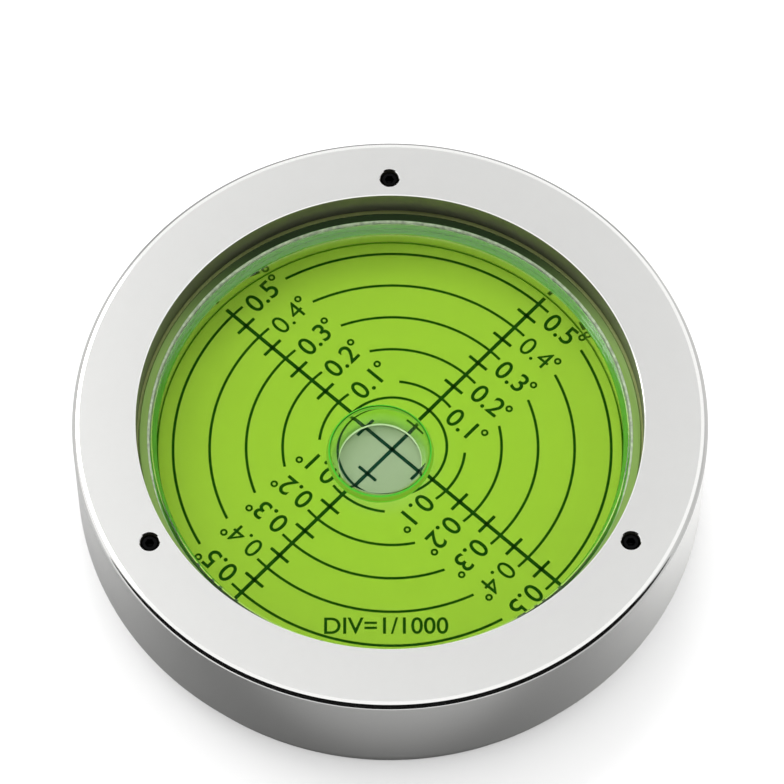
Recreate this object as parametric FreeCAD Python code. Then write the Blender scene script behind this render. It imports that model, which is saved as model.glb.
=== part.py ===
"""Adjustable bullseye level: a round spirit vial hung between springs and set screws in a turned housing.

The level stands on its base plate.  The origin is the centre of the base plate's underside, +Z points up
and the first adjusting screw lies on +Y.  All lengths are millimetres and all angles are degrees.
"""
import FreeCAD, Part

import math
import os

# Heights, from the surface that the level stands on to the face of the rim
base_height = 3.8
pilot_height = 0.8
carrier_hang = 0.9
carrier_ledge_height = 0.8
cup_floor_thickness = 1.5
scale_thickness = 0.5
liquid_depth = 3.0
lens_thickness = 2.0
vial_recess = 3.7

# Housing
overall_diameter = 69.0
rim_width = 6.9
rim_edge_chamfer = 0.5
window_edge_chamfer = 0.1

# Base plate
base_setback = 1.3
pilot_fit = 0.05

# Vial, from the window inwards
vial_gap = 0.2
cup_rim_width = 0.9
bond_width = 0.4
lens_ledge_width = 1.0
scale_disc_fit = 0.1
liquid_film_gap = 0.02
lens_underside_radius = 2292.0

# Bubble
bubble_diameter = 11.7
bubble_wall_bulge = 0.75
bubble_offset_x = -1.1
bubble_offset_y = -1.45

# Filling hole in the wall of the cup
plug_diameter = 1.6
plug_fit = 0.01
plug_inset = 0.1
plug_azimuth = 270.0

# Carrier round the cup
carrier_wall = 1.15
carrier_fit = 0.05
carrier_drop = 0.7
carrier_ledge_width = 2.2
carrier_play = 0.3
carrier_lift = 1.0
ear_radius = 2.3
ear_thickness = 2.4
ear_play = 0.35

# Adjusting screws
adjuster_count = 3
adjuster_azimuth = 90.0
adjuster_inset = 2.2
adjuster_diameter = 2.0
adjuster_sink = 0.35
adjuster_thread_fit = 0.05
adjuster_tip_gap = 0.05
adjuster_end_chamfer = 0.2
adjuster_socket_across_flats = 0.9
adjuster_socket_depth = 1.2

# Springs under the ears
spring_diameter = 2.6
spring_wire = 0.3
spring_turns = 5
spring_sides_per_turn = 10
spring_play = 0.3
spring_seat_depth = 1.2

# Screws of the base plate
base_screw_azimuth = 30.0
base_screw_diameter = 2.0
base_screw_length = 8.0
base_screw_head_diameter = 3.8
base_screw_head_recess = 0.1
base_screw_wall = 0.8
base_screw_thread_fit = 0.02
base_screw_clearance = 0.15
base_screw_hole_spare = 1.0

# Radii that follow
rim_radius = overall_diameter / 2
window_radius = rim_radius - rim_width
base_radius = rim_radius - base_setback
cup_radius = window_radius - vial_gap
lens_seat_radius = cup_radius - cup_rim_width
lens_radius = lens_seat_radius - bond_width
cavity_radius = lens_seat_radius - lens_ledge_width
carrier_bore_radius = cup_radius + carrier_fit
carrier_radius = carrier_bore_radius + carrier_wall
well_radius = carrier_radius + carrier_play
pilot_radius = well_radius - pilot_fit
adjuster_circle_radius = window_radius + adjuster_inset
spring_circle_radius = carrier_radius + spring_play + spring_diameter / 2
base_screw_circle_radius = well_radius + base_screw_wall + base_screw_diameter / 2

# Heights that follow
pilot_top = base_height + pilot_height
carrier_bottom = pilot_top + carrier_hang
cup_bottom = carrier_bottom + carrier_ledge_height
scale_bottom = cup_bottom + cup_floor_thickness
scale_top = scale_bottom + scale_thickness
lens_apex = scale_top + liquid_depth
vial_top = lens_apex + lens_thickness
overall_height = vial_top + vial_recess
carrier_top = vial_top - carrier_drop
ear_bottom = carrier_top - ear_thickness
well_roof = carrier_top + carrier_lift
adjuster_tip = carrier_top + adjuster_tip_gap
adjuster_top = overall_height - adjuster_sink
spring_seat = base_height - spring_seat_depth

BORE_OVERRUN = 1.0
RIGHT_CORNERS = 1
Z_AXIS = FreeCAD.Vector(0, 0, 1)


def underside_drop(radius):
    """Depth of the lens's hollow underside below its apex, at a distance from the axis."""
    reach = math.sqrt(lens_underside_radius**2 - radius**2)
    return lens_underside_radius - reach


lens_seat = lens_apex - underside_drop(cavity_radius)


def on_profile(radius, height):
    """Point of a turned profile, in the plane that is spun about the axis."""
    return FreeCAD.Vector(radius, 0, height)


def on_circle(radius, azimuth, height):
    """Point at a distance and a direction from the axis of the level."""
    angle = math.radians(azimuth)
    return FreeCAD.Vector(radius * math.cos(angle), radius * math.sin(angle), height)


def azimuths(first):
    """Directions of a ring of equal pieces, one for each adjusting screw."""
    step = 360.0 / adjuster_count
    return [first + step * index for index in range(adjuster_count)]


def turned(points):
    """Solid spun about the axis from the corners of its half section."""
    corners = [on_profile(radius, height) for radius, height in points]
    outline = Part.makePolygon(corners + corners[:1])
    return Part.Face(outline).revolve(FreeCAD.Vector(), Z_AXIS, 360)


def underside_ball(gap):
    """Ball whose top is the lens's hollow underside, or what lies a gap below it, its poles far away."""
    centre = FreeCAD.Vector(0, 0, lens_apex - lens_underside_radius)
    return Part.makeSphere(lens_underside_radius - gap, centre, FreeCAD.Vector(1, 0, 0))


def make_housing():
    """Turned ring with the window, the well for the carrier, three ear pockets and the tapped holes."""
    housing = turned([
        (window_radius, well_roof),
        (well_radius, well_roof),
        (well_radius, base_height),
        (rim_radius, base_height),
        (rim_radius, overall_height - rim_edge_chamfer),
        (rim_radius - rim_edge_chamfer, overall_height),
        (window_radius + window_edge_chamfer, overall_height),
        (window_radius, overall_height - window_edge_chamfer),
    ])
    return housing.cut(ear_pockets() + adjuster_holes() + base_screw_taps())


def ear_pockets():
    """Upright half-round pockets in the wall of the well, one for each ear and its spring."""
    height = well_roof - base_height + BORE_OVERRUN
    floor = base_height - BORE_OVERRUN
    radius = ear_radius + ear_play
    return [
        Part.makeCylinder(radius, height, on_circle(adjuster_circle_radius, azimuth, floor))
        for azimuth in azimuths(adjuster_azimuth)
    ]


def adjuster_holes():
    """Tapped holes through the lip, from the roof of the ear pockets to the face."""
    radius = adjuster_diameter / 2 + adjuster_thread_fit
    foot = well_roof - BORE_OVERRUN
    height = overall_height + BORE_OVERRUN - foot
    return [
        Part.makeCylinder(radius, height, on_circle(adjuster_circle_radius, azimuth, foot))
        for azimuth in azimuths(adjuster_azimuth)
    ]


def base_screw_taps():
    """Blind tapped holes in the foot of the housing for the screws of the base plate."""
    radius = base_screw_diameter / 2 + base_screw_thread_fit
    depth = base_screw_head_recess + base_screw_length - base_height + base_screw_hole_spare
    mouth = base_height - BORE_OVERRUN
    return [
        Part.makeCylinder(radius, depth + BORE_OVERRUN, on_circle(base_screw_circle_radius, azimuth, mouth))
        for azimuth in azimuths(base_screw_azimuth)
    ]


def make_base_plate():
    """Disc that closes the housing, with a pilot, three spring seats and three countersunk holes."""
    plate = turned([
        (0, 0),
        (base_radius, 0),
        (base_radius, base_height),
        (pilot_radius, base_height),
        (pilot_radius, pilot_top),
        (0, pilot_top),
    ])
    return plate.cut(spring_seats() + base_screw_holes())


def spring_seats():
    """Round seats that keep the feet of the springs in place, also where they cut into the pilot."""
    radius = spring_diameter / 2 + spring_play
    depth = pilot_top - spring_seat + BORE_OVERRUN
    return [
        Part.makeCylinder(radius, depth, on_circle(spring_circle_radius, azimuth, spring_seat))
        for azimuth in azimuths(adjuster_azimuth)
    ]


def base_screw_holes():
    """Clearance holes with right-angled countersinks for the screws of the base plate."""
    hole_radius = base_screw_diameter / 2 + base_screw_clearance
    head_radius = base_screw_head_diameter / 2 + base_screw_clearance
    mouth_radius = head_radius + base_screw_head_recess + BORE_OVERRUN
    tools = []
    for azimuth in azimuths(base_screw_azimuth):
        below = on_circle(base_screw_circle_radius, azimuth, -BORE_OVERRUN)
        tools.append(Part.makeCylinder(hole_radius, pilot_top + 2 * BORE_OVERRUN, below))
        tools.append(Part.makeCone(mouth_radius, hole_radius, mouth_radius - hole_radius, below))
    return tools


def make_base_screw(azimuth):
    """Countersunk screw, its head just under the underside of the base plate."""
    shank_radius = base_screw_diameter / 2
    head_radius = base_screw_head_diameter / 2
    head_height = head_radius - shank_radius
    foot = on_circle(base_screw_circle_radius, azimuth, base_screw_head_recess)
    head = Part.makeCone(head_radius, shank_radius, head_height, foot)
    shank = Part.makeCylinder(shank_radius, base_screw_length, foot)
    return head.fuse(shank).removeSplitter()


def make_vial_cup():
    """Clear cup with a ledge for the lens and a filling hole through its wall."""
    cup = turned([
        (0, cup_bottom),
        (cup_radius, cup_bottom),
        (cup_radius, vial_top),
        (lens_seat_radius, vial_top),
        (lens_seat_radius, lens_seat),
        (cavity_radius, lens_seat),
        (cavity_radius, scale_bottom),
        (0, scale_bottom),
    ])
    hole_radius = plug_diameter / 2 + plug_fit
    return cup.cut(plug_cylinder(hole_radius, cavity_radius - BORE_OVERRUN, cup_radius + BORE_OVERRUN))


def plug_cylinder(radius, start, end):
    """Cylinder on the radial axis of the filling hole, between two distances from the level's axis."""
    height = (scale_top + lens_seat) / 2
    outwards = on_circle(1, plug_azimuth, 0)
    return Part.makeCylinder(radius, end - start, on_circle(start, plug_azimuth, height), outwards)


def make_filler_plug():
    """Stopper of the filling hole, a little below both faces of the cup's wall."""
    return plug_cylinder(plug_diameter / 2, cavity_radius + plug_inset, cup_radius - plug_inset)


def make_vial_lens():
    """Clear disc whose hollow underside has the long radius that sets the level's reading."""
    blank = Part.makeCylinder(lens_radius, vial_top - lens_seat, FreeCAD.Vector(0, 0, lens_seat))
    return blank.cut(underside_ball(0))


def make_lens_bond():
    """Ring of cement that fills the joint between the lens and the cup."""
    return turned([
        (lens_radius, lens_seat),
        (lens_seat_radius, lens_seat),
        (lens_seat_radius, vial_top),
        (lens_radius, vial_top),
    ])


def make_scale_disc():
    """Pale disc on the floor of the cup that carries the printed scale."""
    radius = cavity_radius - scale_disc_fit
    return Part.makeCylinder(radius, scale_thickness, FreeCAD.Vector(0, 0, scale_bottom))


def make_vial_liquid():
    """Liquid that fills the cavity round the bubble."""
    floor = FreeCAD.Vector(0, 0, scale_top + liquid_film_gap)
    pool = Part.makeCylinder(cavity_radius - liquid_film_gap, liquid_depth, floor)
    return pool.common(underside_ball(liquid_film_gap)).cut(make_bubble())


def make_bubble():
    """Space of the bubble, from the scale disc to the lens, with walls that bulge into the liquid."""
    widest = bubble_diameter / 2
    narrowest = widest - bubble_wall_bulge
    middle = (scale_top + lens_apex) / 2
    below = scale_top - BORE_OVERRUN
    above = lens_apex + BORE_OVERRUN
    bubble = turned([
        (0, below),
        (narrowest, below),
        (narrowest, scale_top),
        (widest, middle),
        (narrowest, lens_apex),
        (narrowest, above),
        (0, above),
    ])
    bubble.translate(FreeCAD.Vector(bubble_offset_x, bubble_offset_y, 0))
    return bubble


def make_vial_carrier():
    """Ring that the cup sits in, with an inner ledge under the cup and an ear under each screw."""
    ledge_radius = carrier_bore_radius - carrier_ledge_width
    ring = turned([
        (ledge_radius, carrier_bottom),
        (carrier_radius, carrier_bottom),
        (carrier_radius, carrier_top),
        (carrier_bore_radius, carrier_top),
        (carrier_bore_radius, cup_bottom),
        (ledge_radius, cup_bottom),
    ])
    ears = [
        Part.makeCylinder(ear_radius, ear_thickness, on_circle(adjuster_circle_radius, azimuth, ear_bottom))
        for azimuth in azimuths(adjuster_azimuth)
    ]
    bore = Part.makeCylinder(carrier_bore_radius, ear_thickness, FreeCAD.Vector(0, 0, ear_bottom))
    return ring.fuse(ears).cut(bore).removeSplitter()


def hexagon_prism(across_flats, height, foot):
    """Upright hexagonal prism."""
    corner_radius = across_flats / math.sqrt(3)
    corners = [foot + on_circle(corner_radius, 60.0 * index, 0) for index in range(6)]
    outline = Part.makePolygon(corners + corners[:1])
    return Part.Face(outline).extrude(FreeCAD.Vector(0, 0, height))


def make_adjusting_screw(azimuth):
    """Socket set screw in the lip, its flat tip just above the ear."""
    radius = adjuster_diameter / 2
    tip_radius = radius - adjuster_end_chamfer
    screw = turned([
        (0, adjuster_tip),
        (tip_radius, adjuster_tip),
        (radius, adjuster_tip + adjuster_end_chamfer),
        (radius, adjuster_top - adjuster_end_chamfer),
        (tip_radius, adjuster_top),
        (0, adjuster_top),
    ])
    screw.translate(on_circle(adjuster_circle_radius, azimuth, 0))
    floor = on_circle(adjuster_circle_radius, azimuth, adjuster_top - adjuster_socket_depth)
    socket = hexagon_prism(adjuster_socket_across_flats, adjuster_socket_depth + BORE_OVERRUN, floor)
    return screw.cut(socket)


def make_carrier_spring(azimuth):
    """Compression spring of square wire in short straight runs, both ends ground flat."""
    height = ear_bottom - spring_seat
    coil_radius = (spring_diameter - spring_wire) / 2
    runs = spring_turns * spring_sides_per_turn
    sweep = 360.0 / spring_sides_per_turn
    path = Part.makePolygon([
        on_circle(coil_radius, sweep * step, height * step / runs) for step in range(runs + 1)
    ])
    corners = [
        on_profile(coil_radius - spring_wire / 2, -spring_wire / 2),
        on_profile(coil_radius + spring_wire / 2, -spring_wire / 2),
        on_profile(coil_radius + spring_wire / 2, spring_wire / 2),
        on_profile(coil_radius - spring_wire / 2, spring_wire / 2),
    ]
    section = Part.makePolygon(corners + corners[:1])
    coil = path.makePipeShell([section], True, True, RIGHT_CORNERS)
    spring = coil.common(Part.makeCylinder(spring_diameter, height))
    spring.translate(on_circle(spring_circle_radius, azimuth, spring_seat))
    return spring


def numbered(name, make, first_azimuth):
    """One node for each of a ring of equal pieces, numbered from the first azimuth."""
    directions = azimuths(first_azimuth)
    return {f"{name}_{index}": make(azimuth) for index, azimuth in enumerate(directions, start=1)}


def make_nodes():
    """All pieces of the level by node name."""
    nodes = {
        "housing": make_housing(),
        "base_plate": make_base_plate(),
        "vial_carrier": make_vial_carrier(),
        "vial_cup": make_vial_cup(),
        "filler_plug": make_filler_plug(),
        "scale_disc": make_scale_disc(),
        "vial_liquid": make_vial_liquid(),
        "vial_lens": make_vial_lens(),
        "lens_bond": make_lens_bond(),
    }
    nodes.update(numbered("adjusting_screw", make_adjusting_screw, adjuster_azimuth))
    nodes.update(numbered("carrier_spring", make_carrier_spring, adjuster_azimuth))
    nodes.update(numbered("base_screw", make_base_screw, base_screw_azimuth))
    return nodes


os.makedirs("parts", exist_ok=True)
for node, shape in make_nodes().items():
    shape.exportStep(f"parts/{node}.step")
    print(f"{node}: {len(shape.Solids)} solid, {shape.Volume:.1f} mm3, valid {shape.isValid()}")
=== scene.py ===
import logging
import math
from collections.abc import Sequence
from dataclasses import dataclass, field
from enum import IntEnum

import bmesh
import bpy
from bpy.types import Material, Mesh, Node, NodeSocket, NodeTree, Object
from mathutils import Matrix, Quaternion, Vector, noise


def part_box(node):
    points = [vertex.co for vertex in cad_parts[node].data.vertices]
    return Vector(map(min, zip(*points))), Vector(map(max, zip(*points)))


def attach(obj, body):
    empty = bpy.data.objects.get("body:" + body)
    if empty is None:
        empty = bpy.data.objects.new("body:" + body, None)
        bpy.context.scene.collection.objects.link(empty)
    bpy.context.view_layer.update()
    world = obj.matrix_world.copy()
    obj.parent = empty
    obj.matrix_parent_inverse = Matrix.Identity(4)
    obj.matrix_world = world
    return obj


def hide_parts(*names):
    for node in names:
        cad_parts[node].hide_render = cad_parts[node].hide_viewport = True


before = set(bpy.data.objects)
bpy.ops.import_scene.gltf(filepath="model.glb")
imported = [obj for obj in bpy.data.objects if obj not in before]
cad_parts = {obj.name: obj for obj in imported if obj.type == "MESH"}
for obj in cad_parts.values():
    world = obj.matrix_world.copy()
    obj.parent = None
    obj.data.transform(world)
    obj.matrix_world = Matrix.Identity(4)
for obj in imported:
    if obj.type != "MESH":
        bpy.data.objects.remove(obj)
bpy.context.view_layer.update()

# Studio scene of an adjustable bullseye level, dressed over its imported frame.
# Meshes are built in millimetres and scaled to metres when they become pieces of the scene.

LOG = logging.getLogger("bullseye_level")
MM = 0.001
LEVEL = "level"
SCREW_BODY = "adjusting_screw_{number}"
FULL_TURN = 2 * math.pi
OVERRUN = 1.0

# Sizes shared by more than one piece, in millimetres and degrees
SCREW_COUNT = 3
ADJUSTER_AZIMUTH = 90.0
BASE_SCREW_AZIMUTH = 30.0
SCREW_CIRCLE = 29.8
SCREW_DIAMETER = 2.0
BASE_SCREW_CIRCLE = 30.7
BASE_SCREW_DIAMETER = 2.0
SPRING_CIRCLE = 30.2
AIR_GAP = 0.02

# Faces round the axis of what is turned
HOUSING_FACES = 256
VIAL_FACES = 192
CEMENT_FACES = 360
BUBBLE_FACES = 96
BORE_FACES = 48
SMALL_FACES = 40
TAP_FACES = 32
SIGN_FACES = 24
HEXAGON = 6

# Points between two corners of a letter's outline
LETTER_POINTS = 6

# Angle from which an edge stays sharp, in degrees
SHARP_ANGLE = 28.0

# Range that most of a noise lies in, and how much broader than a grain the mottling is
NOISE_MIDDLE = (0.3, 0.7)
METAL_BREADTH = 6
SOLID_BREADTH = 10

Inputs = dict[str | int, object] | None
Range = tuple[float, float]
Levels = tuple[object, object]
Colour = tuple[float, float, float]
Stops = tuple[tuple[float, Colour], ...]


class Metalwork(IntEnum):
    """Material index of a band on the turned metal pieces."""

    FACE = 0
    BORE = 1
    EDGE = 2


class Moulding(IntEnum):
    """Material index of a band on the clear pieces."""

    BODY = 0
    BACKING = 1
    LEDGE = 2


def linear(colour: str) -> tuple[float, float, float, float]:
    """Turns a written colour into the linear values that a shader takes.

    Args:
        colour: Six hexadecimal digits of an sRGB colour.

    Returns:
        Red, green, blue and alpha, from 0 to 1.
    """
    channels = [int(colour[start:start + 2], 16) / 255 for start in (0, 2, 4)]
    values = [c / 12.92 if c <= 0.04045 else ((c + 0.055) / 1.055) ** 2.4 for c in channels]
    return (*values, 1.0)


def add_node(tree: NodeTree, kind: str, inputs: Inputs = None, **settings: object) -> Node:
    """Adds a node to a shader or geometry tree.

    Args:
        tree: Tree that gets the node.
        kind: Blender's type name of the node.
        inputs: Value, or output socket to link, for each input that is set.
        **settings: Properties of the node itself.

    Returns:
        The new node.
    """
    node = tree.nodes.new(kind)
    for name, value in settings.items():
        setattr(node, name, value)
    for key, value in (inputs or {}).items():
        if isinstance(value, NodeSocket):
            tree.links.new(value, node.inputs[key])
        else:
            node.inputs[key].default_value = value
    return node


def shade(
    tree: NodeTree, kind: str, inputs: Inputs = None, output: str | int = 0, **settings: object
) -> NodeSocket:
    """Adds a shader node and gives one of its outputs.

    Args:
        tree: Tree that gets the node.
        kind: Blender's type name of the node, without its ShaderNode.
        inputs: Value, or output socket to link, for each input that is set.
        output: Name or index of the output.
        **settings: Properties of the node itself.

    Returns:
        The output.
    """
    return add_node(tree, f"ShaderNode{kind}", inputs, **settings).outputs[output]


def ramped(
    tree: NodeTree, value: NodeSocket, across: Range, levels: Levels, smooth: bool = False
) -> NodeSocket:
    """Maps a value from one range to another and holds it past the ends.

    Args:
        tree: Tree that gets the node.
        value: Value to map.
        across: Values where the change begins and ends.
        levels: Results there, as numbers or sockets.
        smooth: Whether the change starts and stops softly.

    Returns:
        The mapped output.
    """
    ends = dict(zip(("From Min", "From Max", "To Min", "To Max"), (*across, *levels)))
    easing = "SMOOTHSTEP" if smooth else "LINEAR"
    return shade(tree, "MapRange", {"Value": value, **ends}, interpolation_type=easing)


def mixed(tree: NodeTree, share: NodeSocket, first: NodeSocket, second: NodeSocket) -> NodeSocket:
    """Mixes two shaders, the second one where the share is 1."""
    return shade(tree, "MixShader", {0: share, 1: first, 2: second})


def object_place(tree: NodeTree, axis: str) -> NodeSocket:
    """Gives one coordinate of the shaded point in object space."""
    return shade(tree, "SeparateXYZ", {"Vector": shade(tree, "TexCoord", output="Object")}, axis)


def grain(tree: NodeTree, size: Sequence[float], detail: float = 2.0) -> NodeSocket:
    """Adds noise in object space.

    Args:
        tree: Shader tree that gets the noise.
        size: Length of a typical feature along X, Y and Z, in millimetres.
        detail: Octaves of the noise.

    Returns:
        The noise's output, from 0 to 1.
    """
    place = shade(tree, "TexCoord", output="Object")
    scaled = shade(tree, "Mapping", {"Vector": place, "Scale": [1 / (length * MM) for length in size]})
    return shade(tree, "TexNoise", {"Vector": scaled, "Scale": 1.0, "Detail": detail}, "Fac")


def spread(tree: NodeTree, value: NodeSocket, low: float, high: float) -> NodeSocket:
    """Maps the middle of a noise's output to a range."""
    return ramped(tree, value, NOISE_MIDDLE, (low, high))


def bump(tree: NodeTree, height: NodeSocket, strength: float, depth: float) -> NodeSocket:
    """Adds relief to a shader, its strength from 0 to 1 and its depth in millimetres."""
    return shade(tree, "Bump", {"Height": height, "Strength": strength, "Distance": depth * MM})


def new_shader(name: str) -> tuple[Material, NodeTree]:
    """Makes an empty node material.

    Args:
        name: Name of the finish.

    Returns:
        The material and its node tree.
    """
    material = bpy.data.materials.new(name)
    material.use_nodes = True
    material.node_tree.nodes.clear()
    return material, material.node_tree


def end_shader(tree: NodeTree, surface: NodeSocket, **volume: NodeSocket) -> None:
    """Links a surface, and a volume if one is given, to a material's output."""
    add_node(tree, "ShaderNodeOutputMaterial", {"Surface": surface, **volume})


def open_to_shadows(tree: NodeTree, surface: NodeSocket) -> NodeSocket:
    """Lets the rays of shadows pass a surface."""
    shadow = shade(tree, "LightPath", output="Is Shadow Ray")
    return mixed(tree, shadow, surface, shade(tree, "BsdfTransparent"))


def tinted(tree: NodeTree, colour: str, value: NodeSocket, amount: float) -> NodeSocket:
    """Varies the brightness of a colour up and down by a share of it, as a noise says."""
    inputs = {0: linear(colour)[:3], 3: spread(tree, value, 1 - amount, 1 + amount)}
    return shade(tree, "VectorMath", inputs, operation="SCALE")


@dataclass(frozen=True)
class Metal:
    """Machined, blasted or coated metal.

    Attributes:
        name: Name of the finish.
        colour: sRGB colour of the metal or its coating.
        roughness: Middle of the range of roughness.
        unevenness: How far the roughness goes up and down.
        grain_size: Length of a grain along X, Y and Z, in millimetres.
        relief: Height of the grain, in millimetres.
        relief_strength: How much of the grain shows.
        mottling: Share by which the brightness varies.
    """

    name: str
    colour: str
    roughness: float
    unevenness: float = 0.04
    grain_size: tuple[float, float, float] = (0.15, 0.15, 0.15)
    relief: float = 0.01
    relief_strength: float = 0.2
    mottling: float = 0.02

    def material(self) -> Material:
        """Builds the finish's node material."""
        material, tree = new_shader(self.name)
        fine = grain(tree, self.grain_size)
        broad = grain(tree, [METAL_BREADTH * length for length in self.grain_size])
        middle = self.roughness
        end_shader(tree, shade(tree, "BsdfPrincipled", {
            "Base Color": tinted(tree, self.colour, broad, self.mottling),
            "Metallic": 1.0,
            "Roughness": spread(tree, broad, middle - self.unevenness, middle + self.unevenness),
            "Normal": bump(tree, fine, self.relief_strength, self.relief),
        }))
        return material


@dataclass(frozen=True)
class Solid:
    """Opaque plastic, paint or cement.

    Attributes:
        name: Name of the finish.
        colour: sRGB colour.
        roughness: Middle of the range of roughness.
        unevenness: How far the roughness goes up and down.
        grain_size: Length of a grain, in millimetres.
        relief: Height of the grain, in millimetres.
        relief_strength: How much of the grain shows.
        mottling: Share by which the brightness varies.
        gloss: Specular level of the surface.
    """

    name: str
    colour: str
    roughness: float
    unevenness: float = 0.04
    grain_size: float = 0.2
    relief: float = 0.004
    relief_strength: float = 0.3
    mottling: float = 0.02
    gloss: float = 0.5

    def material(self) -> Material:
        """Builds the finish's node material."""
        material, tree = new_shader(self.name)
        fine = grain(tree, [self.grain_size] * 3)
        broad = grain(tree, [SOLID_BREADTH * self.grain_size] * 3)
        middle = self.roughness
        end_shader(tree, shade(tree, "BsdfPrincipled", {
            "Base Color": tinted(tree, self.colour, broad, self.mottling),
            "Roughness": spread(tree, fine, middle - self.unevenness, middle + self.unevenness),
            "Specular IOR Level": self.gloss,
            "Normal": bump(tree, fine, self.relief_strength, self.relief),
        }))
        return material


@dataclass(frozen=True)
class Clear:
    """Clear plastic or liquid that light passes on its way to what lies under it.

    Attributes:
        name: Name of the finish.
        ior: Index of refraction.
        colour: sRGB tint of the surface.
        absorbed: sRGB colour that the volume keeps, or none for a body that keeps every colour.
        density: Absorption per metre.
        waviness: Height of the surface's slight waves, in millimetres.
        wave_length: Length of a wave, in millimetres.
        wave_strength: How much of the waves shows.
        clarity: Share of the light that passes; the rest scatters back in the surface's tint.
        shaded_back_colour: sRGB colour of painted shade towards the back of the level, or none for an even
            tint.
        shaded_back_reach: Distances behind the axis where that painted shade begins and is full, in
            millimetres.
    """

    name: str
    ior: float
    colour: str = "ffffff"
    absorbed: Colour | None = None
    density: float = 0.0
    waviness: float = 0.0005
    wave_length: float = 3.0
    wave_strength: float = 0.5
    clarity: float = 1.0
    shaded_back_colour: str = ""
    shaded_back_reach: Range = (8.0, 24.0)

    def tint(self, tree: NodeTree) -> object:
        """Gives the surface's tint, even or darkening towards the back as painted shade."""
        if not self.shaded_back_colour:
            return linear(self.colour)
        start, end = self.shaded_back_reach
        # Painted shade: the tint darkens towards the back of the level.
        behind = ramped(tree, object_place(tree, "Y"), (start * MM, end * MM), (0.0, 1.0), smooth=True)
        inputs = {0: behind, 6: linear(self.colour), 7: linear(self.shaded_back_colour)}
        return shade(tree, "Mix", inputs, 2, data_type="RGBA")

    def material(self) -> Material:
        """Builds the finish's node material."""
        material, tree = new_shader(self.name)
        waves = grain(tree, [self.wave_length] * 3, detail=1.0)
        body = shade(tree, "BsdfPrincipled", {
            "Base Color": self.tint(tree),
            "Roughness": 0.0,
            "IOR": self.ior,
            "Transmission Weight": self.clarity,
            "Normal": bump(tree, waves, self.wave_strength, self.waviness),
        })
        volume = {}
        if self.absorbed:
            inputs = {"Color": (*self.absorbed, 1.0), "Density": self.density}
            volume["Volume"] = shade(tree, "VolumeAbsorption", inputs)
        end_shader(tree, open_to_shadows(tree, body), **volume)
        return material


@dataclass(frozen=True)
class Meniscus:
    """Curved rim of the bubble with painted light: bright green lines in its colour and a painted glow stand
    in for the light of the spirit.

    Attributes:
        name: Name of the finish.
        low: Height of the rim's foot, in millimetres.
        high: Height of its top, in millimetres.
        painted_light_colours: Place on the rim from 0 to 1, with its linear colour there; the bright lines
            are painted light.
        painted_glows: Place on the rim from 0 to 1, with the linear colour of the painted glow that it sends
            out there.
        roughness: Roughness of the rim.
        gloss: Specular level of the rim.
    """

    name: str
    low: float
    high: float
    painted_light_colours: Stops = (
        (0.0, (0.12, 0.25, 0.03)),
        (0.42, (0.12, 0.25, 0.03)),
        (0.5, (0.04, 0.25, 0.03)),
        (0.56, (0.12, 0.25, 0.03)),
        (0.84, (0.12, 0.25, 0.03)),
        (0.92, (0.04, 0.25, 0.03)),
    )
    painted_glows: Stops = (
        (0.0, (0.16, 0.34, 0.03)),
        (0.42, (0.16, 0.34, 0.03)),
        (0.5, (0.05, 0.5, 0.04)),
        (0.56, (0.18, 0.36, 0.03)),
        (0.84, (0.18, 0.36, 0.03)),
        (0.92, (0.05, 0.5, 0.04)),
    )
    roughness: float = 0.4
    gloss: float = 0.1

    def ramp(self, tree: NodeTree, place: NodeSocket, stops: Stops) -> NodeSocket:
        """Turns a place on the rim into a colour.

        Args:
            tree: Shader tree that gets the node.
            place: Place from 0 to 1.
            stops: Places with their linear colours, in order.

        Returns:
            The colour output.
        """
        node = add_node(tree, "ShaderNodeValToRGB", {"Fac": place})
        elements = node.color_ramp.elements
        while len(elements) < len(stops):
            elements.new(1.0)
        for element, (position, colour) in zip(elements, stops):
            element.position = position
            element.color = (*colour, 1.0)
        return node.outputs["Color"]

    def material(self) -> Material:
        """Builds the finish's node material."""
        material, tree = new_shader(self.name)
        share = ramped(tree, object_place(tree, "Z"), (self.low * MM, self.high * MM), (0.0, 1.0))
        rim = shade(tree, "BsdfPrincipled", {
            "Base Color": self.ramp(tree, share, self.painted_light_colours),
            "Roughness": self.roughness,
            "Specular IOR Level": self.gloss,
            "Emission Color": self.ramp(tree, share, self.painted_glows),
            "Emission Strength": 1.0,
        })
        end_shader(tree, open_to_shadows(tree, rim))
        return material


SATIN_ALUMINIUM = Metal(
    "satin_anodised_aluminium", "f1f1ef", 0.28,
    unevenness=0.004, grain_size=(0.12, 0.12, 0.12), relief=0.001, relief_strength=0.006, mottling=0.003,
)
# Bored metal: its dark, yellowish colour is partly painted shade of the deep well, darker than bare
# aluminium.
BORED_ALUMINIUM_PAINTED_SHADE = Metal("bored_aluminium", "8f8c78", 0.4, grain_size=(2.0, 2.0, 0.05), relief=0.002)
BRIGHT_EDGE = Metal(
    "bright_cut_chamfer", "f0f0ee", 0.08,
    unevenness=0.01, relief=0.001, relief_strength=0.05, mottling=0.004,
)
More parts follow.
